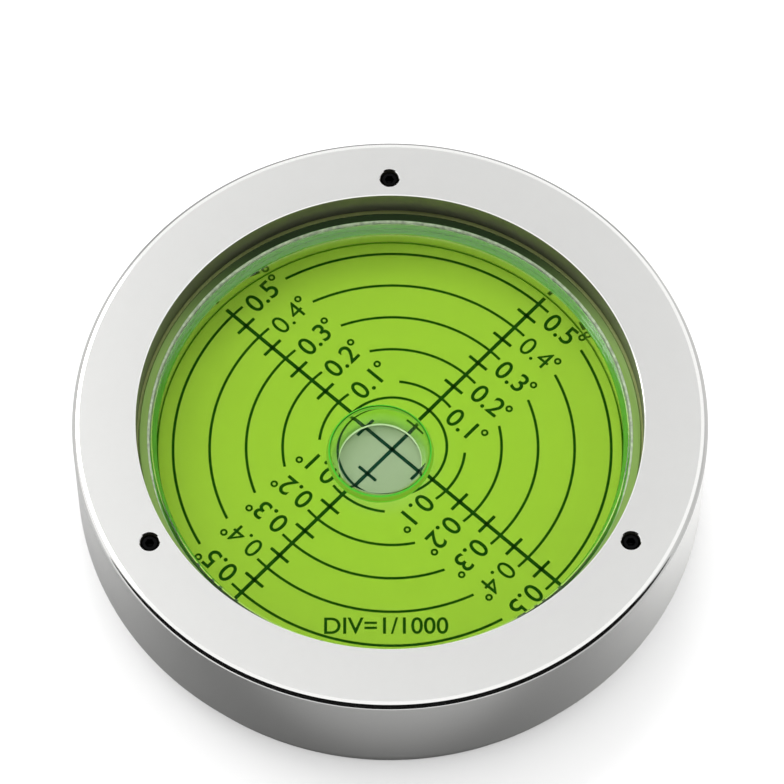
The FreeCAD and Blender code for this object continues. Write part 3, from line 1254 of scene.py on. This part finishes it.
    def bubble_wall(self, low: float = -90.0, high: float = 90.0, swell: float = 0.0) -> list[Station]:
        """Follows the rounded wall between the film and the lens.

        Args:
            low: Where the wall begins, as an angle below its widest ring.
            high: Where it ends, as an angle above that ring.
            swell: Distance from the wall into the liquid, in millimetres.

        Returns:
            The stations, from the foot up.
        """
        half = (self.lens_apex - AIR_GAP - self.film_top) / 2
        stations = []
        for step in range(self.wall_bands + 1):
            angle = math.radians(low + (high - low) * step / self.wall_bands)
            inner = self.bubble_foot if angle < 0 else self.bubble_contact
            radius = inner + (self.bubble_radius + swell - inner) * math.cos(angle)
            stations.append(Station(radius, self.film_top + half * (1 + math.sin(angle))))
        return stations

    def shell_mesh(self, reach: Range) -> Mesh:
        """Makes a thin shell in the liquid just outside the bubble's wall, between two angles on it."""
        inner = self.bubble_wall(*reach, self.shell_gap)
        outer = self.bubble_wall(*reach, 2 * self.shell_gap)
        return moved(turned("bubble_shell", inner + outer[::-1], BUBBLE_FACES), self.bubble_place)

    def film_mesh(self) -> Mesh:
        """Makes a thin skin over the film under the bubble, tinted grey as painted shade, with a pale painted
        highlight at its back edge.
        """
        radius, foot = self.bubble_foot, self.film_top + self.shell_gap
        top = foot + self.shell_gap
        skin = turned("film", block(0, radius, foot, top), BUBBLE_FACES)
        # Painted highlight: a pale line on the film's edge, in the backing band's index.
        line = block(radius - self.highlight_width, radius, top, top + self.shell_gap, Moulding.BACKING)
        edge = turned("film_edge", line, BUBBLE_FACES)
        for vertex in edge.vertices:
            reach = vertex.co.xy.length
            if reach > radius - self.highlight_width / 2:
                continue
            backness = min(max(self.highlight_side + vertex.co.y / reach, self.highlight_least), 1.0)
            vertex.co.xy *= (radius - self.highlight_width * backness) / reach
        return moved(merged("film", [skin, edge]), self.bubble_place)

    def bubble_mesh(self) -> Mesh:
        """Makes the space of the bubble, from the film under it to the lens."""
        roof = self.lens_apex - AIR_GAP + OVERRUN
        crown = band((self.bubble_contact, roof), (0, roof))
        section = [Station(0, self.film_top), *self.bubble_wall(), *crown]
        return moved(turned("bubble", section, BUBBLE_FACES), self.bubble_place)

    def liquid_mesh(self, liquid: Material) -> Mesh:
        """Makes the liquid round the bubble and under it."""
        foot, radius = self.disc.high.z + AIR_GAP, self.cavity_radius - AIR_GAP
        pool = turned("pool", band((0, foot), (radius, foot)) + self.underside(radius, AIR_GAP), VIAL_FACES)
        return cut(pool, [self.bubble_mesh()], [liquid])

    def disc_mesh(self) -> Mesh:
        """Makes the scale disc with softly broken edges."""
        radius, foot, top = self.disc.radius, self.disc.low.z + AIR_GAP, self.disc.high.z
        edge = self.disc_break
        corners = (0, foot), (radius, foot), (radius, top - edge), (radius - edge, top), (0, top)
        return turned("disc", band(*corners), VIAL_FACES)

    def build(
        self,
        clear: Material,
        cup: Sequence[Material],
        spirit: Sequence[Material],
        cement: Material,
        white: Material,
    ) -> None:
        """Makes the pieces of the vial.

        Args:
            clear: Acrylic of the lens.
            cup: Acrylic of the cup's outside with painted green light and painted shade at the back, paint
                under its floor, and acrylic of its inside with painted green light.
            spirit: Green spirit, the painted shade over its film under the bubble, the film's edge with its
                painted highlight, the bubble's rim with its painted glow, and its lower wall.
            cement: Frosted cement.
            white: Matt white of the scale disc.
        """
        publish("moulded_cup", self.cup_mesh(cup), cup, nodes=["vial_cup"])
        publish("hollow_lens", self.lens_mesh(), [clear], nodes=["vial_lens"])
        publish("cement_ring", self.bond_mesh(), [cement], nodes=["lens_bond"])
        publish("scale_plate", self.disc_mesh(), [white], nodes=["scale_disc"])
        # Of these, film carries painted shade, edge a painted highlight and rim a painted glow.
        liquid, film, edge, rim, lower_wall = spirit
        publish("spirit", self.liquid_mesh(liquid), [liquid], nodes=["vial_liquid"])
        publish("bubble_film", self.film_mesh(), [film, edge])
        publish("bubble_rim", self.shell_mesh(self.rim_reach), [rim])
        publish("bubble_lower_wall", self.shell_mesh(self.lower_reach), [lower_wall])


@dataclass
class Scale:
    """Print on the scale disc: rings, arms, ticks, numbers and the note of the division.

    Attributes:
        disc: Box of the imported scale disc.
        centre: Centre of the print on the disc.
        thickness: Thickness of the ink.
        ring_count: Number of numbered rings.
        first_ring: Radius of the first numbered ring.
        ring_step: Distance between numbered rings.
        centre_ring: Radius of the unbroken ring.
        arm_azimuth: Direction of the first arm.
        arm_count: Number of arms.
        arm_reach: Length of an arm from the centre.
        arm_width: Width of the arms.
        ring_width: Width of the rings.
        arc_points: Points along an arc.
        tick_length: Length of the ticks across the arms.
        tick_width: Width of the ticks.
        label_height: Height of the digits.
        boldness: How far the strokes of the digits are widened.
        open_digit: Digit with a hole that would close.
        open_boldness: How far the strokes of its labels are widened.
        label_start: Distance of the first digit's edge from its arm.
        label_inset: How far the middle of the digits lies inside its ring.
        label_spacing: Factor on the distance between the letters of a label.
        sign_radius: Radius of a degree sign, to the middle of its line.
        sign_width: Width of that line.
        sign_middle: Distance of the middle of a degree sign from its arm.
        sign_outset: How far that middle lies outside its ring.
        restart: Distance along the ring from the arm to where the ring goes on after the label.
        stub: Length of the ring past an arm.
        note_words: Note of the division.
        note_height: Height of its digits.
        note_radius: Distance of its middle from the axis.
        note_azimuth: Direction of its middle.
    """

    disc: Extent = boxed("scale_disc")
    centre: Vector = pointed(0.22, 0.04)
    thickness: float = 0.012
    ring_count: int = 5
    first_ring: float = 8.0
    ring_step: float = 4.0
    centre_ring: float = 6.0
    arm_azimuth: float = 47.2
    arm_count: int = 4
    arm_reach: float = 25.0
    arm_width: float = 0.42
    ring_width: float = 0.3
    arc_points: int = 40
    tick_length: float = 2.6
    tick_width: float = 0.36
    label_height: float = 2.26
    boldness: float = 0.01
    open_digit: int = 4
    open_boldness: float = 0.0
    label_start: float = 1.98
    label_inset: float = 0.71
    label_spacing: float = 1.03
    sign_radius: float = 0.3
    sign_width: float = 0.24
    sign_middle: float = 6.35
    sign_outset: float = 0.1
    restart: float = 7.4
    stub: float = 1.5
    note_words: str = "DIV=1/1000"
    note_height: float = 1.92
    note_radius: float = 21.65
    note_azimuth: float = 268.2

    def bar(self, length: float, width: float) -> Mesh:
        """Makes a flat bar of ink along Y, its foot at nought."""
        shape = bmesh.new()
        bmesh.ops.create_cube(shape, size=1.0)
        bmesh.ops.scale(shape, vec=(width, length, self.thickness), verts=shape.verts)
        bmesh.ops.translate(shape, vec=(0, 0, self.thickness / 2), verts=shape.verts)
        return as_mesh("bar", shape)

    def hoop(self, radius: float, width: float, segments: int) -> Mesh:
        """Makes an unbroken ring of ink about the Z axis.

        Args:
            radius: Radius of the middle of the line.
            width: Width of the line.
            segments: Faces round the axis.

        Returns:
            The ring, its foot at nought.
        """
        return turned("hoop", block(radius - width / 2, radius + width / 2, 0.0, self.thickness), segments)

    def strokes(self, ring: GeometryTree, common: dict[str, object]) -> Mesh:
        """Makes the arms and the ticks across them from what they have in common."""
        arms = ring.run(self.bar(self.arm_width, self.arm_reach), radius=self.arm_reach / 2, **common)
        radii = [self.first_ring - self.ring_step]
        radii += [self.first_ring + self.ring_step * (number + 0.5) for number in range(self.ring_count - 1)]
        ticks = [
            ring.run(self.bar(self.tick_length, self.tick_width), radius=radius, **common) for radius in radii
        ]
        return merged("strokes", [arms, *ticks])

    def rings(self, arcs: GeometryTree, ink: Material) -> Mesh:
        """Makes the unbroken ring and the arcs of the numbered rings."""
        broken = arcs.run(
            rings=self.ring_count,
            arms=self.arm_count,
            points=self.arc_points,
            first_radius=self.first_ring,
            ring_step=self.ring_step,
            arm_angle=math.radians(self.arm_azimuth),
            restart=self.restart,
            stub=self.stub,
            line_width=self.ring_width,
            thickness=self.thickness,
            height=self.disc.high.z + self.thickness / 2,
            material=ink,
        )
        whole = self.hoop(self.centre_ring, self.ring_width, BUBBLE_FACES)
        return merged("rings", [broken, moved(whole, polar(0.0, 0.0, self.disc.high.z))])

    def beside(self, radius: float, azimuth: float, distance: float) -> Vector:
        """Finds a point on the disc at a radius along an arm and a distance square to that arm."""
        return polar(radius, azimuth, self.disc.high.z) + polar(distance, azimuth - 90.0)

    def labels(self) -> Mesh:
        """Makes the tilt angles beside the arms, each line square to its arm."""
        meshes = []
        for arm in range(self.arm_count):
            azimuth = self.arm_azimuth + 360.0 * arm / self.arm_count
            for number in range(1, self.ring_count + 1):
                bold = self.open_boldness if number == self.open_digit else self.boldness
                digits = text_mesh(f"0.{number}", self.label_height, self.thickness, bold, self.label_spacing)
                half = max(vertex.co.x for vertex in digits.vertices)
                radius = self.first_ring + self.ring_step * (number - 1)
                place = self.beside(radius - self.label_inset, azimuth, self.label_start + half)
                meshes.append(moved(digits, place, azimuth - 90.0))
                sign = self.hoop(self.sign_radius, self.sign_width, SIGN_FACES)
                meshes.append(moved(sign, self.beside(radius + self.sign_outset, azimuth, self.sign_middle)))
        return merged("labels", meshes)

    def note(self) -> Mesh:
        """Makes the note of the division near the rim."""
        line = text_mesh(self.note_words, self.note_height, self.thickness, self.boldness)
        return moved(line, polar(self.note_radius, self.note_azimuth, self.disc.high.z))

    def build(self, ring: GeometryTree, arcs: GeometryTree, ink: Material) -> None:
        """Makes the print.

        Args:
            ring: Tree that sets copies round the axis.
            arcs: Tree of the broken rings.
            ink: Finish of the print.
        """
        common = {
            "count": self.arm_count,
            "height": self.disc.high.z,
            "first_angle": math.radians(self.arm_azimuth),
            "material": ink,
        }
        publish("scale_arms", moved(self.strokes(ring, common), self.centre), [ink])
        publish("scale_rings", moved(self.rings(arcs, ink), self.centre), [ink])
        publish("scale_numbers", moved(self.labels(), self.centre), [ink])
        publish("division_note", moved(self.note(), self.centre), [ink])


@dataclass
class SetScrew:
    """Socket set screw with a threaded shank.

    Attributes:
        number: Number of the screw, from 1.
        azimuth: Direction of the screw from the level's axis.
        pitch: Pitch of the thread.
        ridge: Radius of the rounded ridge of the thread.
        edge_break: Broken edge of the core.
        end_gap: Distance of the thread's middle from both ends.
        socket: Size of the hexagon across its flats.
        socket_depth: Depth of the hexagon.
        thread_steps: Points in one turn of the thread.
        thread_sides: Sides of its ridge.
    """

    number: int
    azimuth: float
    pitch: float = 0.4
    ridge: float = 0.12
    edge_break: float = 0.1
    end_gap: float = 0.2
    socket: float = 0.9
    socket_depth: float = 1.2
    thread_steps: int = 40
    thread_sides: int = 6

    def build(self, coil: GeometryTree, steel: Material) -> None:
        """Makes the screw.

        Args:
            coil: Tree of a coiled wire.
            steel: Finish of the screw.
        """
        node = SCREW_BODY.format(number=self.number)
        extent = Extent.of(node)
        foot, top, edge = extent.low.z, extent.high.z, self.edge_break
        core, corner = SCREW_DIAMETER / 2 - self.ridge, self.socket / math.sqrt(3)
        blank = turned("set_screw", band(
            (0, foot),
            (core - edge, foot),
            (core, foot + edge),
            (core, top - edge),
            (core - edge, top),
            (0, top),
        ), SMALL_FACES)
        socket = turned("socket", band(
            (0, top - self.socket_depth - corner / 2),
            (corner, top - self.socket_depth),
            (corner, top),
            (corner + OVERRUN, top + OVERRUN),
            (0, top + OVERRUN),
        ), HEXAGON)
        body = cut(blank, [socket], [steel])
        length = top - foot - 2 * self.end_gap
        thread = coil.run(
            turns=length / self.pitch,
            coil_radius=core,
            height=length,
            wire_radius=self.ridge,
            start_height=foot + self.end_gap,
            steps=self.thread_steps,
            wire_sides=self.thread_sides,
            material=steel,
        )
        shape = moved(merged("set_screw", [body, thread]), polar(SCREW_CIRCLE, self.azimuth))
        publish(f"socket_screw_{self.number}", shape, [steel], node, [node])


@dataclass
class Springs:
    """Compression springs under the carrier's ears.

    Attributes:
        wire: Diameter of the wire.
        diameter: Outer diameter of a spring.
        turns: Number of turns.
        slack: How far a spring lies inside its diameter.
        steps: Points in one turn.
        sides: Sides of the wire.
    """

    wire: float = 0.3
    diameter: float = 2.6
    turns: float = 5.0
    slack: float = 0.01
    steps: int = 32
    sides: int = 10

    def build(self, coil: GeometryTree, ring: GeometryTree, steel: Material) -> None:
        """Makes the three springs as one piece.

        Args:
            coil: Tree of a coiled wire.
            ring: Tree that sets copies round the axis.
            steel: Finish of the wire.
        """
        nodes = numbered("carrier_spring")
        extent = Extent.of(nodes[0])
        one = coil.run(
            turns=self.turns,
            coil_radius=(self.diameter - self.wire) / 2 - self.slack,
            height=extent.high.z - extent.low.z - self.wire,
            wire_radius=self.wire / 2,
            start_height=self.wire / 2,
            steps=self.steps,
            wire_sides=self.sides,
            material=steel,
        )
        springs = ring.run(
            one,
            count=SCREW_COUNT,
            radius=SPRING_CIRCLE,
            height=extent.low.z,
            first_angle=math.radians(ADJUSTER_AZIMUTH),
            material=steel,
        )
        publish("carrier_springs", springs, [steel], nodes=nodes)


def repaint(node: str, finish: Material) -> None:
    """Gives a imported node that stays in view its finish."""
    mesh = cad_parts[node].data
    mesh.materials.clear()
    mesh.materials.append(finish)
    LOG.info("%s: repainted", node)


@dataclass(frozen=True)
class Lamp:
    """Round soft lamp that points at the level.

    Attributes:
        name: Name of the lamp.
        power: Power in watts.
        azimuth: Direction from +X towards +Y, in degrees.
        elevation: Height above the horizon, in degrees.
        size: Diameter of the lamp, in millimetres.
        distance: Distance from the level, in millimetres.
        mirrored: Whether metal and glass mirror it.
    """

    name: str
    power: float
    azimuth: float
    elevation: float
    size: float
    distance: float = 1400.0
    mirrored: bool = True

    def build(self) -> None:
        """Makes the lamp."""
        data = bpy.data.lights.new(self.name, "AREA")
        data.shape = "DISK"
        data.size = self.size * MM
        data.energy = self.power
        lamp = linked(self.name, data)
        place = aloft(self.distance, self.azimuth, self.elevation) * MM
        lamp.location = place
        lamp.rotation_mode = "QUATERNION"
        lamp.rotation_quaternion = (-place).to_track_quat("-Z", "Y")
        lamp.visible_glossy = lamp.visible_transmission = self.mirrored


@dataclass
class Studio:
    """Pale floor, soft light, a dark card in front and the photograph's camera.

    Lengths are in millimetres, angles in degrees.

    Attributes:
        aim: Point that the camera looks at.
        distance: Distance of the camera from it.
        elevation: Height of the camera above the horizon.
        roll: Turn of the camera about its own axis.
        focal_pixels: Focal length in pixels of the photograph.
        photo_width: Width of the photograph in pixels.
        sensor: Width of the camera's sensor.
        clip: Nearest and farthest thing that the camera sees, in metres.
        sky: Strength of the light from above.
        side: Strength of the light from the left horizon.
        right: Strength of the light from the right horizon.
        back: Strength of the light from the horizon in front and behind.
        left_reach: Where the light of the left horizon ends, from -1 to 1 across.
        right_reach: Where that of the right horizon begins.
        sky_reach: Heights where the light of the sky begins and is full, from 0 to 1.
        softbox: Lamp high on the left behind the level.
        fill: Lamp high behind it, which lights the scale alone.
        card_radius: Distance of the dark card.
        card_grid: Columns and rows of its faces.
        card_half: Half of the angle that it spans.
        card_rise: Elevation of its lower edge at the ends, twice that in front, and its height in front.
        card_colour: sRGB colour of the card and the flag.
        flag_height: Height of the overhead flag.
        flag_radius: Radius of that flag.
        flag_faces: Sides of that flag.
        floor_radius: Radius of the floor.
        floor_step: Width of one of its faces.
        floor_lap: How far the floor reaches under the foot.
        floor_drop: How far the floor lies below the foot.
        floor_glow: Light that the floor adds where the camera sees it.
        floor_colour: sRGB colour of the floor.
        light_colour: sRGB colour of the sky's light and of that glow.
        across: Where the mirrored floor's grey changes from left to right.
        middle_greys: Greys from left to right beside the level.
        front_greys: The same in front of it.
        near_reach: Where the front darkens from the camera's side towards the level.
        near_greys: Factors on its greys at both ends.
        front_reach: Where the greys of the front go over into those beside the level.
        behind_reach: Where the grey behind the level begins and is full.
        behind_grey: That grey.
        outer_reach: Where the grey far to the sides begins and is full.
        outer_grey: That grey.
    """

    aim: Vector = pointed(0.223, 3.083, 17.0)
    distance: float = 599.1
    elevation: float = 62.678
    roll: float = -0.138
    focal_pixels: float = 5512.15
    photo_width: int = 784
    sensor: float = 36.0
    clip: Range = (0.01, 20.0)
    sky: float = 1.08
    side: float = 1.0
    right: float = 0.55
    back: float = 0.85
    left_reach: Range = (-0.8, -0.4)
    right_reach: Range = (0.4, 0.8)
    sky_reach: Range = (0.0, 0.75)
    softbox: Lamp = Lamp("softbox", 2.8, 139.0, 52.0, 800.0)
    fill: Lamp = Lamp("fill", 3.4, 90.0, 57.0, 500.0, mirrored=False)
    card_radius: float = 1500.0
    card_grid: tuple[int, int] = (24, 8)
    card_half: float = 84.0
    card_rise: Range = (4.0, 33.0)
    card_colour: str = "0a0a0a"
    flag_height: float = 1200.0
    flag_radius: float = 155.0
    flag_faces: int = 48
    floor_radius: float = 6000.0
    floor_step: int = 5
    floor_lap: float = 0.5
    floor_drop: float = 0.02
    floor_glow: float = 0.13
    floor_colour: str = "fafafa"
    light_colour: str = "ffffff"
    across: Range = (-35.0, 35.0)
    middle_greys: Range = (0.52, 1.02)
    front_greys: Range = (0.29, 0.52)
    near_reach: Range = (-42.0, -36.0)
    near_greys: Range = (1.0, 0.45)
    front_reach: Range = (-38.0, 0.0)
    behind_reach: Range = (35.0, 60.0)
    behind_grey: float = 0.28
    outer_reach: Range = (48.0, 60.0)
    outer_grey: float = 0.5

    def camera(self) -> None:
        """Makes the camera at the photograph's viewing angle."""
        data = bpy.data.cameras.new("camera")
        data.sensor_width = self.sensor
        data.lens = self.focal_pixels * self.sensor / self.photo_width
        data.clip_start, data.clip_end = self.clip
        camera = linked("camera", data)
        tilt = math.radians(self.elevation)
        back = Vector((0, -math.cos(tilt), math.sin(tilt)))
        camera.location = (self.aim + back * self.distance) * MM
        camera.rotation_mode = "QUATERNION"
        roll = Quaternion((0, 0, 1), math.radians(self.roll))
        camera.rotation_quaternion = (-back).to_track_quat("-Z", "Y") @ roll
        bpy.context.scene.camera = camera

    def sky_light(self) -> None:
        """Makes the even light from all round, white where the camera looks at it."""
        world = bpy.data.worlds.new("studio")
        bpy.context.scene.world = world
        world.use_nodes = True
        tree = world.node_tree
        tree.nodes.clear()
        direction = {"Vector": shade(tree, "TexCoord", output="Generated")}
        x, z = (shade(tree, "SeparateXYZ", direction, axis) for axis in "XZ")
        leftward = ramped(tree, x, self.left_reach, (self.side, self.back), smooth=True)
        horizon = ramped(tree, x, self.right_reach, (leftward, self.right), smooth=True)
        strength = ramped(tree, z, self.sky_reach, (horizon, self.sky))
        light, seen = (
            shade(tree, "Background", {"Color": linear(self.light_colour), "Strength": level})
            for level in (strength, 1.0)
        )
        camera = shade(tree, "LightPath", output="Is Camera Ray")
        add_node(tree, "ShaderNodeOutputWorld", {"Surface": mixed(tree, camera, light, seen)})

    def floor_grey(self, tree: NodeTree) -> NodeSocket:
        """Gives the grey of the floor where metal mirrors it, a painted shade by its place round the level.
        """
        x, y = object_place(tree, "X"), object_place(tree, "Y")

        def graded(value: NodeSocket, reach: Range, levels: Levels, smooth: bool = False) -> NodeSocket:
            """Maps a coordinate, its range given in millimetres."""
            start, end = reach
            return ramped(tree, value, (start * MM, end * MM), levels, smooth)

        middle = graded(x, self.across, self.middle_greys)
        front = {0: graded(x, self.across, self.front_greys), 1: graded(y, self.near_reach, self.near_greys)}
        shaded = shade(tree, "Math", front, operation="MULTIPLY")
        level = graded(y, self.front_reach, (shaded, middle), smooth=True)
        behind = graded(y, self.behind_reach, (level, self.behind_grey), smooth=True)
        beside = shade(tree, "Math", {0: x}, operation="ABSOLUTE")
        return graded(beside, self.outer_reach, (behind, self.outer_grey), smooth=True)

    def floor_paint(self) -> Material:
        """Makes the floor's finish: pale to the eye, grey with painted shade in reflections and open from
        below.
        """
        material, tree = new_shader("pale_floor")
        lit = shade(tree, "BsdfDiffuse", {"Color": linear(self.floor_colour)})
        glow = shade(tree, "Emission", {"Color": linear(self.light_colour), "Strength": self.floor_glow})
        lifted = shade(tree, "AddShader", {0: lit, 1: glow})
        seen = mixed(tree, shade(tree, "LightPath", output="Is Camera Ray"), lit, lifted)
        # Painted shade: the floor that metal mirrors is grey, darker in front of the level and near it.
        reflected = shade(tree, "BsdfDiffuse", {"Color": self.floor_grey(tree)})
        upper = mixed(tree, shade(tree, "LightPath", output="Is Glossy Ray"), seen, reflected)
        below = shade(tree, "NewGeometry", output="Backfacing")
        end_shader(tree, mixed(tree, below, upper, shade(tree, "BsdfTransparent")))
        return material

    def floor(self) -> Object:
        """Makes the pale floor, open under the level."""
        shape = bmesh.new()
        hole = Extent.of("base_plate").radius - self.floor_lap
        inner, outer = (
            [
                shape.verts.new(polar(radius, azimuth, -self.floor_drop) * MM)
                for azimuth in range(0, 360, self.floor_step)
            ]
            for radius in (hole, self.floor_radius)
        )
        for step, corner in enumerate(inner):
            shape.faces.new((inner[step - 1], outer[step - 1], outer[step], corner))
        return staged("floor", shape, self.floor_paint())

    def card(self, dark: Material) -> Object:
        """Makes the curved dark card in front, which the front chamfer mirrors."""
        shape = bmesh.new()
        columns, rows = self.card_grid
        foot, rise = self.card_rise
        grid = [[] for _ in range(rows + 1)]
        for row, line in enumerate(grid):
            for column in range(columns + 1):
                offset = self.card_half * (2 * column / columns - 1)
                tilt = (foot + rise * row / rows) * math.cos(math.radians(offset)) + foot
                line.append(shape.verts.new(aloft(self.card_radius, -90.0 + offset, tilt) * MM))
        for low, high in zip(grid, grid[1:]):
            for column in range(columns):
                shape.faces.new((low[column], low[column + 1], high[column + 1], high[column]))
        return staged("dark_card", shape, dark, "camera", "diffuse", "transmission", "shadow")

    def flag(self, dark: Material) -> Object:
        """Makes the small dark flag overhead that keeps the sky's reflection off the lens."""
        shape = bmesh.new()
        radius = self.flag_radius * MM
        bmesh.ops.create_circle(shape, cap_ends=True, segments=self.flag_faces, radius=radius)
        flag = staged("dark_flag", shape, dark, "camera", "diffuse", "shadow")
        across = self.flag_height / math.tan(math.radians(self.elevation))
        flag.location = Vector((0.0, across, self.flag_height)) * MM
        return flag

    def build(self) -> None:
        """Sets up the studio."""
        bpy.context.scene.view_settings.view_transform = "Standard"
        self.camera()
        self.sky_light()
        self.softbox.build()
        self.fill.build()
        dark, tree = new_shader("dark_card")
        end_shader(tree, shade(tree, "BsdfDiffuse", {"Color": linear(self.card_colour)}))
        self.floor()
        self.card(dark)
        self.flag(dark)


def staged(name: str, shape: bmesh.types.BMesh, finish: Material, *unseen: str) -> Object:
    """Makes an object of the studio.

    Args:
        name: Name of the object.
        shape: Its faces, in metres.
        finish: Its material.
        *unseen: Kinds of rays that don't meet it.

    Returns:
        The object.
    """
    mesh = as_mesh(name, shape)
    mesh.materials.append(finish)
    made = linked(name, mesh)
    for kind in unseen:
        setattr(made, f"visible_{kind}", False)
    return made


def main() -> None:
    """Builds the studio and the level."""
    logging.basicConfig(level=logging.INFO, format="%(name)s %(message)s")
    Studio().build()
    satin, bored, bright = (finish.material() for finish in (SATIN_ALUMINIUM, BORED_ALUMINIUM_PAINTED_SHADE, BRIGHT_EDGE))
    plated, spring_steel = PLATED_STEEL.material(), SPRING_STEEL.material()
    black = BLACK_STEEL.material()
    ring, arcs, coil = ring_tree(), arc_tree(), coil_tree()
    Housing().build([satin, bored, bright])
    BasePlate().build(ring, [satin, bored], plated)
    white = SCALE_WHITE.material()
    spirit = [finish.material() for finish in (GREEN_LIQUID, BUBBLE_PAINTED_SHADE, FILM_PAINTED_HIGHLIGHT, RIM_PAINTED_GLOW, LOWER_WALL)]
    cup = [RIM_PAINTED_SPIRIT_LIGHT.material(), white, LEDGE_PAINTED_SPIRIT_LIGHT.material()]
    Vial().build(CLEAR_ACRYLIC.material(), cup, spirit, CEMENT.material(), white)
    Scale().build(ring, arcs, INK.material())
    for number, azimuth in enumerate(ring_azimuths(ADJUSTER_AZIMUTH), start=1):
        SetScrew(number, azimuth).build(coil, black)
    Springs().build(coil, ring, spring_steel)
    repaint("vial_carrier", CARRIER_PAINTED_GREEN_LIGHT.material())
    repaint("filler_plug", STOPPER_PLASTIC.material())


if __name__ == "__main__":
    main()
